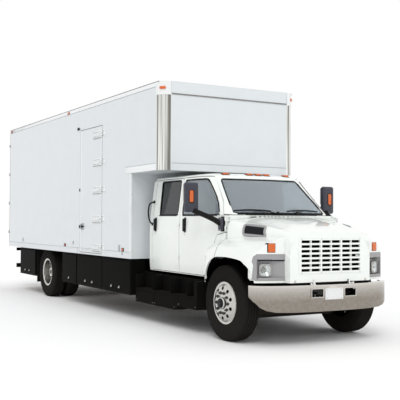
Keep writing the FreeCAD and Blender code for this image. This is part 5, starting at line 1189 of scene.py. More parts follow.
    def mirrors(self) -> None:
        """Dress the mirrors: two silvered panes behind, an amber repeater in front, arm collars and a base gasket."""
        heights = ((1926, 2196), (1806, 1904))
        panes = joined([plate(rectangle("y", 769, (1174, 1358), span, 26), BACK, 0.004, 0.001) for span in heights])
        rims = joined([strip(rectangle("y", 770, (1170, 1362), (low - 4, high + 4), 28), BACK, 0.008, 0.005, 0.002)
            for low, high in heights])
        lamp = plate(rectangle("y", 682, (1250, 1314), (1926, 2098), 20), FRONT, 0.011, 0.005, 0.004)
        lamp_rim = strip(rectangle("y", 681, (1244, 1320), (1920, 2104), 24), FRONT, 0.008, 0.006, 0.003)
        line = curve(at([1006, 1042, 1110, 1188, 1232], [272, 296, 440, 640, 716], [1610, 1632, 1706, 1776, 1812]),
            30)
        along = np.linspace(0, 1, 30)
        cover = tube(line, 0.047 - 0.012 * along + 0.004 * np.cos(along * 2 * np.pi), 18)
        gasket = strip(rectangle("x", 1001, (220, 316), (1514, 1711), 18), LEFT, 0.016, 0.006, 0.004)
        bolts = bolt_heads(at(1055, [242, 294, 242, 294], [1536, 1536, 1690, 1690]), "+x", 0.008, 0.005)
        for name, side in SIDES.items():
            body = f"{name}_front_cab_door"
            self.truck.smoothed(f"{name}_mirror", MIRROR_SHELL, sharp=50)
            piece(f"{name}_mirror_panes", panes.on(side), MIRROR_GLASS, body)
            piece(f"{name}_mirror_repeater", lamp.on(side), AMBER_LENS, body)
            piece(f"{name}_mirror_trim", joined([rims, lamp_rim, gasket, cover]).on(side), SEAL_RUBBER, body)
            piece(f"{name}_mirror_bolts", bolts.on(side), ZINC, body)

    def roof(self) -> None:
        """Dress the five roof lamps with domed lenses and gaskets."""
        self.truck.smoothed("roof_lamps", AMBER_LENS, sharp=40, bevel=0.006)
        skin = Skin(self.truck, "cab_shell")
        gaskets = []
        for share in (-0.78, -0.22, 0.0, 0.22, 0.78):
            x = share * 720
            y = 760 + 75 * share * share + 98 * 1.05
            line = rounded([(x - 58, y - 38), (x + 58, y - 38), (x + 58, y + 38), (x - 58, y + 38)], 16, 30)
            gaskets.append(strip(skin.drop(at(line[:, 0], line[:, 1], 3000), DOWN), (0, -0.3, 1), 0.014, 0.006,
                0.004))
        piece("roof_lamp_gaskets", joined(gaskets), SEAL_RUBBER)

    def build(self) -> None:
        """Dress the cab."""
        for part in (self.shells, self.rubbers, self.screen_gear, self.side_gear, self.mirrors, self.roof):
            part()


# Hood, grille, lamps and bumper


@dataclass
class Front(Assembly):
    """Everything ahead of the cab: hood, fenders, grille, lamps, vents and bumper."""

    lens_x: float = 950
    lens_z: float = 1012
    lens_half: float = 0.076
    beside: float = 1500
    ahead: float = -1500
    liner_x: tuple[float, float] = (0.52, 1.165)
    liner_r: tuple[float, float] = (0.612, 0.616)

    def skins(self) -> None:
        """Stand smooth skins: the hood's and fenders' inner sides stay dark."""
        below = Zone(UNDERSIDE, (-1.192, -FAR, 0), (1.192, FAR, FAR), towards=tuple(at(0, -350, 1000)))
        arch = Zone(UNDERSIDE, (0.5, -FAR, 0), (1.19, FAR, FAR), towards=tuple(at(880, -60, 700)))
        self.truck.smoothed("hood_shell", CAB_ENAMEL, [below, arch.mirrored(), arch])
        self.truck.smoothed("fender_tails", CAB_ENAMEL, [arch.mirrored(), arch])
        self.truck.smoothed("grille", CAB_ENAMEL)
        cheek = Zone(CAB_ENAMEL, (1.06, row_y(-650), 0), (1.2, FAR, FAR))
        self.truck.smoothed("headlamp_bezels", GREY_PLASTIC, [cheek.mirrored(), cheek])
        self.truck.smoothed("hood_vents", BLACK_PLASTIC)

    def grille_back(self) -> None:
        """Stretch a black screen of crossed wires behind the grille, on a frame: painted shade that darkens the
        grille's slots.
        """
        wires = [tube(at([x, x], [-860, -860], [972, 1426]), 0.0016, 4) for x in np.arange(-528, 529, 12.0)]
        wires += [tube(at([-532, 532], [-857, -857], [z, z]), 0.0016, 4) for z in np.arange(978, 1425, 12.0)]
        piece("grille_shade_screen", joined(wires), SATIN_BLACK, "hood")
        edge = strip(rectangle("y", -862, (-538, 538), (970, 1428), 12), BACK, 0.018, 0.008)
        bolts = bolt_heads(at(np.tile([-500, -170, 170, 500], 2), -899, np.repeat([975.5, 1422], 4)), "-y", 0.006,
            0.004, 8)
        piece("screen_frame", edge, SATIN_BLACK, "hood")
        piece("grille_screws", bolts, ZINC, "hood")

    def headlamps(self) -> None:
        """Build each headlamp in its recess: ribbed lens, aluminised bowl, bulb and rim, turned with the fender."""
        u, w = np.meshgrid(np.linspace(-1, 1, 17), np.linspace(-1, 1, 17), indexing="ij")
        square = np.stack([u * np.sqrt(1 - w * w * 0.32), w * np.sqrt(1 - u * u * 0.32)])
        dome = (1 - u * u) * (1 - w * w)
        bowl_r = np.minimum(np.hypot(*square), 1)
        half = self.lens_half

        def sheet(depth: Array, size: float, thick: float) -> Shape:
            """Close a sheet with a given depth over the square into a thin shell.

            Args:
                depth: how far back it lies, over the square.
                size: the square's half width.
                thick: the shell's thickness.

            Returns:
                The shell.
            """
            outer = np.stack([square[0] * size, depth, square[1] * size], -1)
            inner = outer + np.array([0, thick, 0])
            ring = np.concatenate([outer, inner[:, ::-1]], 1)
            return surface(ring, wrap_v=True, caps=True)

        lens = sheet(-0.006 * dome + 0.0007 * np.cos(u * 40), half, 0.003)
        bowl = sheet(0.034 * (1 - bowl_r ** 2) + 0.004, half * 0.97, 0.002)
        bulb = joined([lathe([(0.01, 0.002), (0.012, 0.01), (0.022, 0.013), (0.03, 0.012), (0.036, 0.009)], "y", 20),
            lathe([(0.006, 0.014), (0.01, 0.018), (0.013, 0.018)], "y", 24)])
        flat = rounded([(-half, -half), (half, -half), (half, half), (-half, half)], half * 0.36, 0.03)
        rim = strip(np.stack([flat[:, 0], np.zeros(len(flat)), flat[:, 1]], -1), FRONT, 0.008, 0.005, 0.01)
        spots = Skin(self.truck, "headlamps").drop(at([self.lens_x - 60, self.lens_x + 60], self.ahead, self.lens_z),
            BACK)
        turn = math.degrees(math.atan2(spots[1, 1] - spots[0, 1], spots[1, 0] - spots[0, 0]))
        for label, shape, finish, slot in (("lens", lens, CLEAR_LENS, "lamp_glass"),
                ("bowl", bowl, REFLECTOR, "chrome"), ("bulb", bulb, BULB_GLASS, "lamp_glass"),
                ("rim", rim, CHROME_PLATE, "chrome")):
            placed = shape.turned("z", turn).moved(*spots.mean(0))
            made = piece(f"headlamp_{label}", pair(placed), finish, "hood")
            if finish is CLEAR_LENS:
                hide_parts("headlamps")
        skin = Skin(self.truck, "headlamp_bezels")
        x = np.linspace(700, 1050, 16)
        # A black strip along the top of each lamp's recess: painted shade under the bezel's brow
        brow_shadow = strip(skin.drop(at(x, self.ahead, 1141), BACK, 0.004), (0.35, -1, 0.2), 0.02, 0.01, 0.004, loop=False)
        screws = bolt_heads(skin.drop(at([668, 668, 1084, 1084], self.ahead, [900, 1196, 900, 1180]), BACK), "-y",
            0.008, 0.004)
        piece("lamp_brow_shadows", pair(brow_shadow), BLACK_PLASTIC, "hood")
        piece("bezel_screws", pair(screws), ZINC, "hood")

    def turn_lamps(self) -> None:
        """Build each turn lamp: a pillowed ribbed lens in a dark housing, set square to the fender's corner."""
        skin = Skin(self.truck, "hood_shell", "turn_lamps")
        spots = skin.drop(at([850, 930, 890, 890], self.ahead, [1300, 1300, 1262, 1330]), BACK)
        run = spots[1::2] - spots[::2]
        turn = math.degrees(math.atan2(run[0, 1], run[0, 0]))
        lean = -math.degrees(math.atan2(run[1, 1], run[1, 2]))
        middle = spots[:2].mean(0) + np.array([0, 0.004, 0.006])
        for name, low, high, edge, finish, slot in (("turn_lamps_lens", (-0.05, -0.016, -0.058), (0.05, 0.05, 0.058),
                0.013, AMBER_LENS, "amber_lens"), ("turn_lamps_housing", (-0.055, -0.008, -0.063),
                (0.063, 0.055, 0.063), 0.01, SEAL_RUBBER, "trim_grey")):
            block = slab(low, high, edge, 4).turned("x", lean).turned("z", turn).moved(*middle)
            made = piece(name, pair(block), finish, "hood")
            if finish is AMBER_LENS:
                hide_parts("turn_lamps")

    def liners(self) -> None:
        """Line each wheel arch: a roof that follows a circle round the wheel, and a wall to the engine bay."""
        angle = np.radians(np.linspace(33, 147, 25))
        (inner, outer), (low, high) = self.liner_x, self.liner_r
        places = [np.stack([np.full(25, x), AXLE_Y + r * np.cos(angle), Wheels.radius + r * np.sin(angle)], -1) for x,
            r in ((inner, low), (outer, low), (outer, high), (inner, high))]
        roof = surface(np.stack(places, 1), wrap_v=True, caps=True)
        wall = bar((516, 521), (-790, 545), (866, 1330), 2)
        piece("arch_liners", pair(roof, wall), UNDERSIDE, "hood")

    def trims(self) -> None:
        """Frame the side vents, with slats in them, and hook the hood's two catches."""
        skin = Skin(self.truck, "hood_shell", "turn_lamps", "hood_vents")
        line = rounded([(-460, 1456), (-112, 1478), (-112, 1601), (-423, 1570)], 26, 20)
        line = line + np.sign(line - line.mean(0)) * np.array([0, 9])
        placed = skin.drop(at(self.beside, line[:, 0], line[:, 1]), RIGHT)
        frame = strip(placed, (1, -0.5, 0.35), 0.034, 0.014, 0.004)
        y = np.linspace(-430, -130, 16)
        slats = [strip(skin.drop(at(self.beside, y, z + (y + 290) * 0.08), RIGHT), (1, -0.3, 0.6), 0.01, 0.006, 0.002,
            loop=False) for z in (1488, 1510, 1532, 1554)]
        piece("vent_frames", pair(frame), GREY_PLASTIC, "hood")
        piece("vent_slats", pair(*slats), BLACK_PLASTIC, "hood")
        catch = joined([bar((588, 620), (-897, -888), (849, 873), 3), bar((596, 612), (-903, -896), (853, 880), 3)])
        piece("hood_catches", pair(catch), CHROME_PLATE, "hood")

    def bumper(self) -> None:
        """Plate the bumper: dark inside, white blank plate with bolts, framed tow openings."""
        inside = Zone(UNDERSIDE, towards=tuple(at(0, 300, 640)), low=(-1.15, -FAR, 0), high=(1.15, FAR, 0.812))
        blank = Zone(PLATE_WHITE, (-0.155, -FAR, 0.612), (0.155, AXLE_Y - 0.9535, 0.77))
        self.truck.smoothed("front_bumper", BUMPER_CHROME, [inside, blank])
        opening = strip(rectangle("y", -953, (182, 380), (650, 763), 14, 20), FRONT, 0.01, 0.004, 0.01)
        piece("tow_opening_frames", pair(opening), CHROME_PLATE)
        hooks = tube(curve(at([262, 262, 281, 300, 300], [-820, -905, -930, -905, -820], 704), 22), 0.012, 8)
        piece("tow_hooks", pair(hooks), SATIN_BLACK)
        edge = strip(rectangle("y", -960.4, (-148, 148), (619, 763), 10, 20), FRONT, 0.004, 0.0018)
        piece("plate_edge", edge, PLATE_WHITE)
        bolts = bolt_heads(at([-120, 120, -120, 120], -959.6, [632, 632, 750, 750]), "-y", 0.007, 0.0022, 6)
        piece("plate_bolts", bolts, ZINC)
        # A black ribbed panel in the gap between bumper and hood: painted shade of the gap
        gap_shade = joined([bar((-640, 640), (-840, -836), (782, 842), 1.5)] + [bar((x - 12, x + 12), (-844, -838),
            (784, 840), 3) for x in (-480, -240, 240, 480)])
        piece("gap_shade_panel", gap_shade, SEAL_RUBBER)

    def build(self) -> None:
        """Dress the front."""
        for part in (self.skins, self.grille_back, self.headlamps, self.turn_lamps, self.liners, self.trims,
                self.bumper):
            part()


# Van body


@dataclass
class Body(Assembly):
    """The van body's panels, rails, side door, rear doors and lamps."""

    half: float = 1295.5
    lock_bars: tuple[float, float] = (1168, 3662)
    hinge_heights: tuple[float, ...] = (1155, 1680, 2216, 2730, 3243)

    def panels(self) -> None:
        """Finish the walls: enamel outside, lining boards inside."""
        middle = tuple(at(0, 6000, 2400))
        inner = Zone(LINING_PLY, (-1.27, -FAR, 1.15), (1.27, row_y(9680), 3.82), towards=middle)
        for name, side in SIDES.items():
            lining = Zone(LINING_PLY, (-1.27, -FAR, 1.1), (1.27, FAR, 3.9), facing=(-side, 0, 0))
            self.truck.smoothed(f"box_{name}_wall", PANEL_ENAMEL, [lining])
        self.truck.smoothed("box_front", PANEL_ENAMEL, [inner])
        self.truck.smoothed("box_roof", ROOF_SKIN, [Zone(LINING_PLY, high=(FAR, FAR, 3.83), facing=DOWN)])
        self.truck.smoothed("corner_posts", POST_STAINLESS)
        self.truck.smoothed("corner_castings", CAST_WHITE, bevel=0.003)
        self.truck.smoothed("box_bands", PANEL_ENAMEL, bevel=0.002)
        lining = Zone(LINING_PLY, (-1.27, -FAR, 0), (FAR, FAR, FAR), facing=LEFT)
        self.truck.smoothed("side_door", PANEL_ENAMEL,
            [lining, Zone(BLACK_PLASTIC, (-FAR, -FAR, 1.515), (-1.297, FAR, 1.552))])
        self.truck.smoothed("rear_frame", STAINLESS, bevel=0.003)
        for name in SIDES:
            lining = Zone(LINING_PLY, high=(FAR, row_y(9690), FAR), facing=FRONT)
            hardware = Zone(ZINC, low=(-FAR, row_y(9700.5), 0))
            self.truck.smoothed(f"{name}_back_door", PANEL_ENAMEL, [lining, hardware])
        self.truck.smoothed("box_lamps", AMBER_LENS,
            [Zone(RED_LENS, low=(-FAR, row_y(5600), -FAR), high=(FAR, FAR, 1.3)),
            Zone(RED_LENS, low=(-FAR, row_y(9300), 1.3))], bevel=0.004)
        self.truck.smoothed("tail_lamps", RED_LENS, bevel=0.003, sharp=50)

    def rails(self) -> None:
        """Run the top rails, base beads, nose bands, corner columns, pale joint lines and painted shadow lines along
        the roof's edge and under the header band.
        """
        half = self.half
        top = bar((half - 2, half + 5), (1800, 9660), (3782, 3848), 2.5)
        # A painted shadow line along the roof's edge
        edge = bar((half - 3, half + 8), (1706, 9664), (3848, 3859.5), 3)
        under = bar((half - 2, half + 3), (1792, 9655), (3776, 3781), 1)
        bead = bar((half - 2, half + 8), (2724, 9658), (1106, 1113), 2)
        groove = bar((half - 2, half + 3), (2724, 9658), (1116, 1121), 1)
        nose = bar((half - 2, half + 7), (1796, 2925), (2452, 2558), 3)
        column = lathe([(1.012, 0.024), (2.448, 0.024)], "z", 20).moved(*at(half - 19, 2738, 0))
        lines = joined([under, groove, bar((half - 2, half + 6.4), (1796, 2924), (2559, 2563), 1)])
        piece("side_rails", pair(top, bead, nose), RAIL_ENAMEL)
        piece("front_columns", pair(column), RAIL_ENAMEL)
        piece("joint_lines", pair(lines), PALE_SEAL)
        flat = 1112
        # A painted shadow line under the header band
        header_shadow = bar((-flat, flat), (1609, 1616), (3650, 3668), 2)
        piece("roof_edge_shadows", joined([pair(edge), header_shadow]), PAINTED_SHADOW_GREY)
        piece("nose_joint_line", bar((-flat, flat), (1612, 1616), (2562, 2567), 1), PALE_SEAL)

    def rivets(self) -> None:
        """Set the panels' rivets in rows along the rails and up the posts."""
        base = at(self.half + 5.6, np.arange(2790, 9650, 120.0), 1090)
        top = at(self.half + 4.6, np.arange(1850, 9650, 120.0), 3816)
        nose = at(self.half + 6.6, np.arange(1820, 2910, 90.0), 2505)
        left = bolt_heads(np.concatenate([base, top, nose]), "+x", 0.0055, 0.0022, 8)
        clear = np.abs(base[:, 1] - row_y(4468)) >= 0.66
        right = bolt_heads(np.concatenate([base[clear], top, nose]), "+x", 0.0055, 0.0022, 8).mirrored()
        x = np.arange(-1080, 1081, 90.0)
        front = np.concatenate([at(x, 1613.6, z) for z in (3700, 3828, 2480, 2536)])
        front = bolt_heads(front, "-y", 0.0055, 0.0022, 8)
        up = np.arange(2600, 3640, 90.0)
        posts = bolt_heads(np.concatenate([at(self.half, y, up) for y in (1802, 1826)]), "+x", 0.005, 0.0022, 8)
        piece("panel_rivets", joined([left, right, front, pair(posts)]), PANEL_ENAMEL)

    def side_door(self) -> None:
        """Dress the side door: strap plates with bolts, pale edge strip, latch gear, hold-back and rain lip."""
        x = -self.half
        straps, barrels, strap_bolts, post_bolts, slots = [], [], [], [], []
        for z in self.hinge_heights:
            straps.append(bar((x - 7, x + 1), (3962, 4372), (z - 66, z + 66), 3))
            straps += [bar((x - 14, x - 5), (y, y + 22), (z - 62, z + 62), 4) for y in (4000, 4086, 4172, 4258)]
            # Painted shadows: dark lines between each strap's ribs, under each strap and beside its knuckle
            slots += [bar((x - 9, x - 5), (y, y + 12), (z - 56, z + 56), 1) for y in (4026, 4112, 4198, 4284)]
            slots.append(bar((x - 9, x - 1), (3994, 4368), (z - 74, z - 66), 1))
            slots.append(bar((x - 15, x - 5), (3912, 3930), (max(z - 52, 1126), z + 52), 5))
            barrels.append(bar((x - 9, x + 1), (3790, 3908), (z - 66, z + 66), 3))
            spots = np.array([(y, z + s) for y in (4066, 4152, 4238, 4330) for s in (-40, 40)])
            strap_bolts.append(bolt_heads(at(x - 7, spots[:, 0], spots[:, 1]), "-x", 0.011, 0.006))
            spots = np.array([(y, z + s) for y in (3815, 3872) for s in (-40, 40)])
            post_bolts.append(bolt_heads(at(x - 9, spots[:, 0], spots[:, 1]), "-x", 0.011, 0.006))
        piece("door_straps", joined(straps), RAIL_ENAMEL, "side_door")
        piece("strap_shadows", joined(slots), PAINTED_SHADOW_GREY, "side_door")
        piece("door_strap_bolts", joined(strap_bolts), ZINC, "side_door")
        piece("post_straps", joined(barrels), RAIL_ENAMEL)
        piece("post_strap_bolts", joined(post_bolts), ZINC)
        piece("door_edge_strip", bar((x - 4, x + 1), (4944, 4988), (1052, 3381), 1.5), RAIL_ENAMEL, "side_door")
        gasket = strip(rectangle("x", x + 3, (3938, 4998), (1042, 3391), 10), RIGHT, 0.012, 0.005, 0.012)
        piece("door_gasket", gasket, PALE_SEAL)
        pocket = joined([plate(rectangle("x", x, (4792, 4930), (1470, 1600), 14), RIGHT, 0.006, 0.002),
            bar((x - 30, x - 5), (4900, 4925), (1490, 1580), 5)])
        piece("latch_plate", pocket, ZINC, "side_door")
        keepers = [bar((x - 14, x + 1), (5004, 5030), (2212, 2268), 4), bar((x - 14, x + 1), (5004, 5034),
            (1500, 1560), 4)]
        hold = [bar((x - 26, x + 1), (5060, 5120), (3410, 3450), 6), bar((x - 34, x - 20), (5076, 5104), (3400, 3460),
            5)]
        piece("door_keepers", joined(keepers + hold), BLACK_PLASTIC)
        piece("rain_lip", bar((x - 9, x + 1), (3900, 5040), (3400, 3410), 3), RAIL_ENAMEL)

    def lamps(self) -> None:
        """Base each marker lamp, frame the tail lamps, and add brackets and lead covers low on the sides."""
        half = self.half
        bases = []
        for y, z, wide, tall in ((5660, 3805.6, 62, 24), (9560, 3805.6, 62, 24), (3020, 1154, 45, 24),
                (5811, 1154, 45, 24)):
            bases.append(strip(rectangle("x", half + 1, (y - wide, y + wide), (z - tall, z + tall), 8, 20), LEFT,
                0.01, 0.005, 0.002))
        piece("lamp_gaskets", pair(*bases), SEAL_RUBBER)
        covers = [plate(rectangle("x", half, along, up, 8), LEFT, thick, bevel) for along, up, thick,
            bevel in (((3140, 3185), (1118, 1232), 0.014, 0.004), ((2998, 3058), (1062, 1112), 0.012, 0.003),
            ((5330, 5372), (1180, 1245), 0.012, 0.004), ((8560, 8604), (1150, 1240), 0.012, 0.004))]
        piece("side_fittings", pair(*covers), ZINC)
        outlines = [rectangle("y", 9701, (half * share - 56, half * share + 56), (3743, 3787), 8, 20)
            for share in (-0.84, -0.14, 0.0, 0.14, 0.84)]
        rear = [strip(outline, BACK, 0.01, 0.005, 0.002) for outline in outlines]
        rings = [lathe([(0, 0.056), (0.012, 0.066), (0.018, 0.064), (0.018, 0.055)], "y",
            32).moved(*at(side * (950 + step * 170), 9700, 1085)) for side in (-1, 1) for step in (0, 1)]
        piece("tail_lamp_frames", joined(rear + rings), SEAL_RUBBER)

    def rear(self) -> None:
        """Dress the rear: leaf gaskets, lock-bar cams and brackets, handle pads and hinge bolts."""
        half = self.half
        bolts, cams = [], []
        low, high = self.lock_bars
        for share in (0.3, 0.72):
            x = half * share
            for ends in ((low, low + 26), (high - 16, high)):
                cams.append(bar((x - 34, x + 34), (9701, 9738), ends, 4))
            for at_share in (0.03, 0.34, 0.66, 0.94):
                z = low + (high - low) * at_share + 16
                bolts.append(bolt_heads(at([x - 36, x + 36], 9701, [z, z]), "+y", 0.007, 0.005))
                cams.append(bar((x - 46, x + 46), (9700, 9706), (z - 20, z + 20), 2))
            z = low + (high - low) * 0.2
            cams.append(bar((x + 60, x + 216), (9734, 9742), (z + 2, z + 30), 4))
        for z in (1360, 2056, 2751, 3447):
            spots = np.array([(x, z + s) for x in (half - 158, half - 120, half - 82) for s in (-7, 7)])
            cams.append(bar((half - 176, half - 62), (9700, 9706), (z - 24, z + 24), 2))
            bolts.append(bolt_heads(at(spots[:, 0], 9706, spots[:, 1]), "+y", 0.005, 0.004))
        gasket = strip(rectangle("y", 9700, (6, 1236), (1170, 3660), 10), BACK, 0.01, 0.004, 0.002)
        inner = rectangle("y", 9658, (60, 1180), (1240, 3590), 30)
        for name, side in SIDES.items():
            body = f"{name}_back_leaf"
            piece(f"{name}_back_hardware", joined(cams + bolts).on(side), ZINC, body)
            piece(f"{name}_back_gasket", gasket.on(side), SEAL_RUBBER, body)
            piece(f"{name}_back_lining_edge", strip(inner, FRONT, 0.03, 0.003).on(side), MILL_ALUMINIUM, body)
        x = np.arange(-1260, 1261, 120.0)
        frame = np.concatenate([at(x, 9700, z) for z in (1020, 1146, 3846)])
        piece("rear_frame_rivets", bolt_heads(frame, "+y", 0.006, 0.003, 8), ZINC)

    def load_space(self) -> None:
        """Fit out the load space: floor boards with steel strips, wall posts, kick plates and roof bows."""
        self.truck.smoothed("box_floor", OAK_BOARDS)
        strips = [bar((x - 3, x + 3), (2770, 9650), (1149, 1151.5), 1) for x in np.arange(-1120, 1121, 140.0)]
        piece("floor_strips", joined(strips), MILL_ALUMINIUM)
        posts = {y: bar((1237, 1257), (y - 25, y + 25), (1153, 3806), 3) for y in np.arange(2900, 9600, 610.0)}
        beside_door = [post for y, post in posts.items() if not 3900 < y < 5040]
        kicks = [bar((1247, 1256.5), span, (1153, 1400), 2) for span in ((2770, 9650), (2770, 3930), (5005, 9650))]
        right = joined(beside_door + kicks[1:]).mirrored()
        piece("wall_posts", joined([*posts.values(), kicks[0], right]), MILL_ALUMINIUM)
        bows = [bar((-1250, 1250), (y - 20, y + 20), (3782, 3809), 3) for y in np.arange(1900, 9600, 610.0)]
        piece("roof_bows", joined(bows), MILL_ALUMINIUM)

    def build(self) -> None:
        """Dress the van body."""
        for part in (self.panels, self.rails, self.rivets, self.side_door, self.lamps, self.rear, self.load_space):
            part()


# Chassis, steps and boxes under the body


@dataclass
class Chassis(Assembly):
    """Frame, axles, steps, side boxes, guard and flaps."""

    box_face: float = 1275
    step_face: float = 1218
    lids: Outline = ((2752, 3930), (3954, 5162), (5224, 5990), (7732, 8808))

    def boxes(self) -> None:
        """Dress the side boxes: rounded bodies, raised lids, hinges and chrome latches."""
        self.truck.smoothed("skirts", GLOSS_BLACK, bevel=0.004)
        lids, hinges, latches, backs = [], [], [], []
        for start, end in self.lids:
            lids.append(plate(rectangle("x", self.box_face, (start, end), (424, 962), 26), LEFT, 0.007, 0.003))
            hinges.append(bar((1274, 1283), (start + 8, end - 8), (968, 984), 3))
            span, middle = end - start, (start + end) / 2
            for y in (start + 0.36 * span, end - 0.36 * span) if span > 1000 else (middle,):
                backs.append(plate(rectangle("x", 1282, (y - 34, y + 34), (462, 528), 12), LEFT, 0.003, 0.001))
                latches.append(bar((1284, 1300), (y - 26, y + 26), (486, 502), 5))
                latches.append(lathe([(0, 0.014), (0.006, 0.014), (0.009, 0.01)], "x", 16).moved(*at(1284, y, 514)))
        piece("box_lids", pair(*lids), GLOSS_BLACK)
        piece("lid_hinges", pair(*hinges), SATIN_BLACK)
        piece("lid_latch_plates", pair(*backs), SATIN_BLACK)
        piece("lid_latches", pair(*latches), CHROME_PLATE)

    def steps(self) -> None:
        """Dress the steps: tread plates, nosings, dividers, kick panels and bracket bolts."""
        self.truck.smoothed("step_boxes", SATIN_BLACK, bevel=0.005)
        treads = [plate(rectangle("z", 537, (1034, 1214), (726, 2652), 10), UP, 0.003, 0.001),
            plate(rectangle("z", 772, (840, 1024), (640, 2640), 10), UP, 0.003, 0.001)]
        piece("tread_plates", pair(*treads), TREAD_PLATE)
        nosing = [bar((1209, 1221), (716, 2659), (522, 541), 3), bar((1021, 1031), (716, 2659), (758, 776), 3)]
        ribs = [bar((1026, 1217), (y - 5, y + 5), (536, 765), 2) for y in (922, 1445, 2040, 2655)]
        frames = [strip(rectangle("x", self.step_face, (a, b), (low, 506), 16), LEFT, 0.012, 0.004) for a, b,
            low in ((650, 1186, 384), (1286, 1980, 326), (2010, 2640, 326))]
        piece("step_nosings", pair(joined(nosing + ribs)), SATIN_BLACK)
        piece("step_panels", pair(*frames), SATIN_BLACK)
        bolts = bolt_heads(at(self.step_face, [668, 1168, 1304, 1962, 2028, 2622], [400, 400, 342, 342, 342, 342]),
            "+x", 0.007, 0.004)
        piece("step_bolts", pair(bolts), ZINC)

    def frame_gear(self) -> None:
        """Bolt up the frame: rivet rows, U-bolts, brake chambers, air tanks and the exhaust."""
        for node, finish in (("frame_rails", SATIN_BLACK), ("front_axle", CAST_IRON), ("rear_axle", CAST_IRON),
                ("leaf_springs", CAST_IRON), ("engine_block", ENGINE_GREY), ("radiator", COOLER_FINS),
                ("rear_bumper", GLOSS_BLACK), ("mud_flaps", SEAL_RUBBER)):
            self.truck.smoothed(node, finish, bevel=0.003 if node in ("rear_bumper", "mud_flaps", "engine_block")
                else 0.0)
        for name in SIDES:
            self.truck.smoothed(f"{name}_knuckle", CAST_IRON)
        y = np.arange(-600, 9500, 320.0)
        heads = np.concatenate([at(430, y + step, z) for step in (0, 60) for z in (940, 760)])
        piece("frame_rivets", pair(bolt_heads(heads, "+x", 0.012, 0.008, 8)), SATIN_BLACK)
        beam = [bar((-700, 700), (-52, 52), (296, 316), 6), bar((-700, 700), (-15, 15), (310, 400), 3),
            bar((-700, 700), (-52, 52), (384, 404), 6)]
        beam += [bar((side * 640, side * 760), (-48, 48), (330, 470), 16) for side in (-1, 1)]
        piece("axle_beam_forging", joined(beam), CAST_IRON)
        rod = tube(at([-640, 640], [196, 196], [418, 418]), 0.017, 12)
        ends = [lathe([(-0.03, 0.02), (-0.02, 0.03), (0.02, 0.03), (0.03, 0.02)], "z", 16).moved(*at(x, 196, 418))
            for x in (-640, 640)]
        piece("tie_rod", joined([rod] + ends), CAST_IRON)
        loops = []
        for middle, low, high in ((0, 450, 640), (7100, 440, 668)):
            for y_side in (-68, 68):
                line = curve(at([388, 388, 400, 430, 460, 472, 472], middle + y_side, [low, high - 20, high, high + 6,
                    high, high - 20, low]), 26)
                loops.append(tube(line, 0.009, 8))
        piece("u_bolts", pair(*loops), ZINC)
        chamber = [(0, 0.03), (0.01, 0.082), (0.05, 0.088), (0.058, 0.095), (0.066, 0.095), (0.074, 0.088),
            (0.12, 0.08), (0.13, 0.02)]
        pots = [lathe(chamber, "y", 28).moved(*at(x, y, 640)) for x, y in ((400, 6790), (300, 190))]
        piece("brake_chambers", pair(*pots), CAST_IRON)
        tank = lathe([(0, 0.03), (0.02, 0.11), (0.05, 0.13), (0.75, 0.13), (0.78, 0.11), (0.8, 0.03)], "y", 32)
        bands = [lathe([(p, 0.1315), (p + 0.03, 0.1315)], "y", 32) for p in (0.15, 0.6)]
        piece("air_tanks", pair(joined([tank] + bands).moved(*at(250, 3500, 860))), SATIN_BLACK)
        pipe = tube(curve(at([190, 215, 230, 230, 230, 230, 230], [1000, 1300, 1700, 2600, 3400, 5200, 5800],
            [640, 600, 560, 545, 545, 545, 545]), 60), 0.05, 20)
        can = lathe([(0, 0.05), (0.03, 0.115), (0.9, 0.115), (0.93, 0.05)], "y", 32).moved(*at(230, 1850, 548))
        piece("exhaust", joined([pipe, can]), MILL_ALUMINIUM)
        flap = plate(rectangle("y", 7710.5, (700, 1180), (300, 360), 6), BACK, 0.004, 0.001)
        piece("flap_weights", pair(flap), ZINC)

    def build(self) -> None:
        """Dress the chassis."""
        self.boxes()
        self.steps()
        self.frame_gear()


# Cab furniture


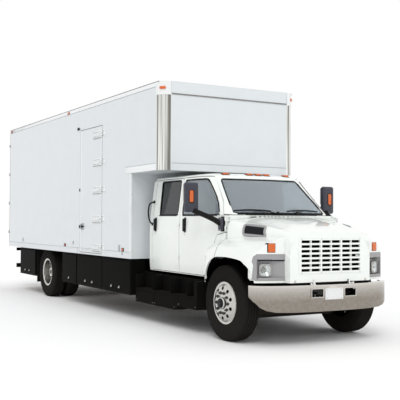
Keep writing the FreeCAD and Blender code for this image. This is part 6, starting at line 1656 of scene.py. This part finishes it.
@dataclass
class Furniture(Assembly):
    """Dashboard, steering wheel, door linings and padded seats."""

    dash_face: float = 575
    voxel: float = 0.014
    cap: float = 0.014

    def dash(self) -> None:
        """Dress the dashboard: gauges, vents, console, horn pad, and linings on the doors."""
        wheel = Zone(BLACK_PLASTIC, low=(-FAR, row_y(577), -FAR))
        self.truck.smoothed("dashboard", TRIM_VINYL, [wheel], sharp=40)
        hood = bar((330, 800), (470, 600), (1664, 1712), 18)
        panel = plate(rectangle("y", self.dash_face, (350, 780), (1530, 1662), 30), BACK, 0.012, 0.004)
        piece("gauge_hood", joined([hood, panel]), BLACK_PLASTIC)
        dials = [lathe([(0, r), (0.005, r), (0.007, r - 0.004), (0.004, r - 0.006)], "y", 32).moved(*at(x, 586, z))
            for x, z, r in ((470, 1600, 0.048), (660, 1600, 0.048), (565, 1626, 0.024), (565, 1570, 0.024))]
        piece("gauges", joined(dials), CHROME_PLATE)
        vents = [plate(rectangle("y", self.dash_face, (x - 55, x + 55), (1560, 1640), 12), BACK, 0.01, 0.003)
            for x in (-800, -200, 200)]
        slats = [bar((x - 50, x + 50), (583, 590), (z, z + 5), 1.5) for x in (-800, -200, 200) for z in range(1568,
            1636, 11)]
        box = plate(rectangle("y", self.dash_face, (-700, -300), (1430, 1640), 20), BACK, 0.008, 0.004)
        radio = plate(rectangle("y", self.dash_face, (-110, 110), (1500, 1640), 10), BACK, 0.01, 0.003)
        piece("dash_panels", joined(vents + slats + [box, radio]), BLACK_PLASTIC)
        knobs = [lathe([(0, 0.014), (0.016, 0.012), (0.018, 0.008)], "y", 16).moved(*at(x, 584, 1470)) for x in (-70,
            0, 70)]
        piece("dash_knobs", joined(knobs), BLACK_PLASTIC)
        horn = lathe([(-0.004, 0.05), (0.018, 0.075), (0.034, 0.07), (0.04, 0.045), (0.041, 0.01)], "z", 32)
        piece("horn_pad", horn.turned("x", -45).moved(*at(560, 800, 1690)), BLACK_PLASTIC)
        lever = tube(curve(at([180, 180, 190, 200], [760, 770, 790, 800], [1025, 1180, 1320, 1400]), 20), 0.009, 10)
        knob = lathe([(-0.02, 0.008), (-0.012, 0.021), (0.004, 0.026), (0.018, 0.02), (0.026, 0.006)], "z",
            20).moved(*at(200, 800, 1410))
        boot = lathe([(0, 0.075), (0.02, 0.06), (0.035, 0.062), (0.055, 0.045), (0.07, 0.047), (0.09, 0.03),
            (0.12, 0.012)], "z", 24).moved(*at(180, 760, 1024))
        piece("gear_lever", joined([lever, knob, boot]), BLACK_PLASTIC)
        for name, side in SIDES.items():
            for door, low, high in (("front", 640, 1500), ("rear", 1640, 2400)):
                rest = bar((880, 952), (low + 150, high - 120), (1240, 1300), 20)
                pad = plate(rectangle("x", 952, (low, high), (930, 1660), 50), RIGHT, 0.01, 0.005)
                crank = tube(curve(at([946, 930, 924], [low + 260, low + 300, low + 380], [1400, 1404, 1396]), 14),
                    0.008, 8)
                piece(f"{name}_{door}_door_lining", joined([rest, pad, crank]).on(side), TRIM_VINYL,
                    f"{name}_{door}_cab_door")

    def inflate(self, name: str, low: Floats, high: Floats, channels: Floats, along: int) -> None:
        """Make one pad: a remeshed block blown up as cloth, its swell capped, with sewn channels pressed in after.

        Args:
            name: the pad's name.
            low: lowest corner in mm, y from the front axle.
            high: highest corner.
            channels: places of the sewn channels across the pad, in mm along x.
            along: the axis that the sitting side faces, 1 forwards along -y or 2 upwards.
        """
        shape = slab(at(*low), at(*high), 0.042, 5)
        made = piece(name, shape, SEAT_CLOTH, sharp=180)
        remesh = made.modifiers.new("even", "REMESH")
        remesh.mode, remesh.voxel_size, remesh.use_smooth_shade = "VOXEL", self.voxel, True
        self.settle(made)
        rest = rows(made.data.vertices, "co")
        cloth = made.modifiers.new("swell", "CLOTH")
        cloth.settings.quality = 4
        cloth.settings.use_pressure, cloth.settings.uniform_pressure_force = True, 4.0
        cloth.settings.effector_weights.gravity = 0.0
        cloth.point_cache.frame_start, cloth.point_cache.frame_end = 1, 20
        for frame_number in range(1, 21):
            bpy.context.scene.frame_set(frame_number)
        blown = made.evaluated_get(bpy.context.evaluated_depsgraph_get())
        moved = rows(blown.data.vertices, "co") - rest
        reach = np.linalg.norm(moved, axis=1)
        rest = rest + moved * np.minimum(1, self.cap / np.maximum(reach, 1e-9))[:, None]
        made.modifiers.remove(cloth)
        bpy.context.scene.frame_set(1)
        middle = (np.array(at(*low)) + np.array(at(*high))) / 2
        out = -1.0 if along == 1 else 1.0
        face = np.clip((rest[:, along] - middle[along]) * out / (abs(high[along] - low[along]) * MM / 2), 0, 1)
        press = sum(np.exp(-((rest[:, 0] - x * MM) / 0.009) ** 2) for x in channels)
        rest[:, along] -= out * 0.011 * np.minimum(press, 1) * face
        made.data.vertices.foreach_set("co", rest.reshape(-1))
        made.data.update()
        soft = made.modifiers.new("soft", "SUBSURF")
        soft.levels = soft.render_levels = 1
        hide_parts("seats")

    @staticmethod
    def settle(made: bpy.types.Object) -> None:
        """Keep what an object's modifiers make as its own mesh.

        Args:
            made: the object.
        """
        bpy.context.view_layer.update()
        whole = made.evaluated_get(bpy.context.evaluated_depsgraph_get())
        mesh = bpy.data.meshes.new_from_object(whole)
        made.modifiers.clear()
        made.data = mesh
        mesh.polygons.foreach_set("use_smooth", np.ones(len(mesh.polygons), bool))

    def seats(self) -> None:
        """Build two front seats and the rear bench: pads, piping, pedestals and belts' buckles."""
        piping, bases = [], []
        for name, x in (("right", -560), ("left", 560)):
            lines = (x - 150, x - 50, x + 50, x + 150)
            self.inflate(f"{name}_seat_cushion", (x - 222, 974, 1200), (x + 222, 1318, 1316), lines, 2)
            self.inflate(f"{name}_seat_back", (x - 222, 1314, 1332), (x + 222, 1406, 1850), lines, 1)
            self.inflate(f"{name}_head_rest", (x - 130, 1322, 1872), (x + 130, 1402, 1996), (), 1)
            piping.append(looped(rectangle("z", 1300, (x - 229, x + 229), (967, 1322), 46), 0.006))
            bases.append(bar((x - 190, x + 190), (1000, 1380), (1026, 1180), 20))
            bases.append(bar((x - 215, x + 215), (985, 1400), (1176, 1204), 10))
            bases += [bar((post, post + 16), (1355, 1371), (1840, 1885), 4) for post in (x - 60, x + 44)]
            buckle = x + 232 if x < 0 else x - 246
            bases.append(bar((buckle, buckle + 14), (1300, 1340), (1200, 1330), 5))
        lines = (-630, -420, -210, 0, 210, 420, 630)
        self.inflate("bench_cushion", (-826, 1976, 1190), (826, 2284, 1316), lines, 2)
        self.inflate("bench_back", (-826, 2296, 1332), (826, 2388, 1994), lines, 1)
        piping.append(looped(rectangle("z", 1300, (-833, 833), (1969, 2288), 46), 0.006))
        bases.append(bar((-800, 800), (2000, 2380), (1026, 1190), 20))
        piece("seat_bases", joined(bases), BLACK_PLASTIC)
        piece("seat_piping", joined(piping), TRIM_VINYL)

    def build(self) -> None:
        """Furnish the cab."""
        self.dash()
        self.seats()


# Studio


@dataclass
class Studio:
    """Floor, soft light, and the camera at the photograph's angle."""

    focal_px: float = 775.878
    centre_px: float = 177.844
    image_px: float = 400.0
    yaw: float = 28.767
    pitch: float = 1.526
    roll: float = 0.345
    place: tuple[float, float, float] = (-6.8771, -9.0997 + AXLE_Y, 1.6569)

    def camera(self) -> None:
        """Stand the camera where the photograph was taken."""
        data = bpy.data.cameras.new("view")
        data.sensor_width = 36
        data.lens = self.focal_px / self.image_px * 36
        data.shift_x = (self.image_px / 2 - self.centre_px) / self.image_px
        data.clip_end = 200
        made = bpy.data.objects.new("view", data)
        turn = (Matrix.Rotation(-math.radians(self.yaw), 4, "Z") @ Matrix.Rotation(math.radians(90 + self.pitch), 4,
            "X") @ Matrix.Rotation(math.radians(self.roll), 4, "Z"))
        made.matrix_world = Matrix.Translation(self.place) @ turn
        bpy.context.scene.collection.objects.link(made)
        bpy.context.scene.camera = made

    def floor(self) -> None:
        """Lay a wide pale floor: a disc of rings, z = 0."""
        angle, radius = np.linspace(0, 2 * np.pi, 64, endpoint=False), (0.01, 5, 15, 60)
        rings = np.stack([np.outer(radius, np.cos(angle)), np.outer(radius, np.sin(angle)), np.zeros((4, 64))], -1)
        shape = surface(rings, wrap_v=True)
        mesh = bpy.data.meshes.new("floor")
        mesh.from_pydata(shape.points.tolist(), [], shape.quads.tolist())
        made = bpy.data.materials.new("floor_paper")
        made.use_nodes = True
        sockets = made.node_tree.nodes["Principled BSDF"].inputs
        for socket, value in (("Base Color", linear("#FFFFFF")), ("Roughness", 1.0), ("Specular IOR Level", 0.0)):
            sockets[socket].default_value = value
        mesh.materials.append(made)
        floor = bpy.data.objects.new("floor", mesh)
        bpy.context.scene.collection.objects.link(floor)

    def light(self) -> None:
        """Light the truck from a pale sky and two soft lamps."""
        world = bpy.data.worlds.new("sky")
        bpy.context.scene.world = world
        world.use_nodes = True
        tree = world.node_tree
        tree.nodes.clear()
        path = add_node(tree, "LightPath")
        seen = add_node(tree, "Math", {"operation": "MAXIMUM"}, {0: path.outputs["Is Camera Ray"],
            1: path.outputs["Is Glossy Ray"]})
        seen = add_node(tree, "Math", {"operation": "MAXIMUM"},
            {0: seen.outputs[0], 1: path.outputs["Is Transmission Ray"]})
        level = add_node(tree, "MapRange", {"To Min": 0.8, "To Max": 1.0}, {"Value": seen.outputs[0]})
        sky = add_node(tree, "Background", {"Color": linear("#FFFFFF")}, {"Strength": level.outputs[0]})
        add_node(tree, "OutputWorld", {}, {"Surface": sky.outputs[0]})
        for name, strength, spread, turn in (("key", 0.85, 25, (42, 0, -38)), ("fill", 0.25, 60, (60, 0, 50))):
            lamp = bpy.data.lights.new(name, "SUN")
            lamp.energy, lamp.angle = strength, math.radians(spread)
            made = bpy.data.objects.new(name, lamp)
            made.rotation_euler = [math.radians(t) for t in turn]
            bpy.context.scene.collection.objects.link(made)

    def build(self) -> None:
        """Build the studio."""
        bpy.context.scene.view_settings.view_transform = "Standard"
        self.camera()
        self.floor()
        self.light()


def main() -> None:
    """Build the truck's pieces in order."""
    logging.basicConfig(level=logging.INFO, format="%(name)s %(message)s")
    for item in list(bpy.data.objects):
        bpy.data.objects.remove(item)
    truck = Truck(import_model())
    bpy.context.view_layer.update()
    Studio().build()
    for assembly in (Cab, Front, Body, Chassis, Furniture, Wheels):
        LOG.info("building %s", assembly.__name__)
        assembly(truck).build()


if __name__ == "__main__":
    main()
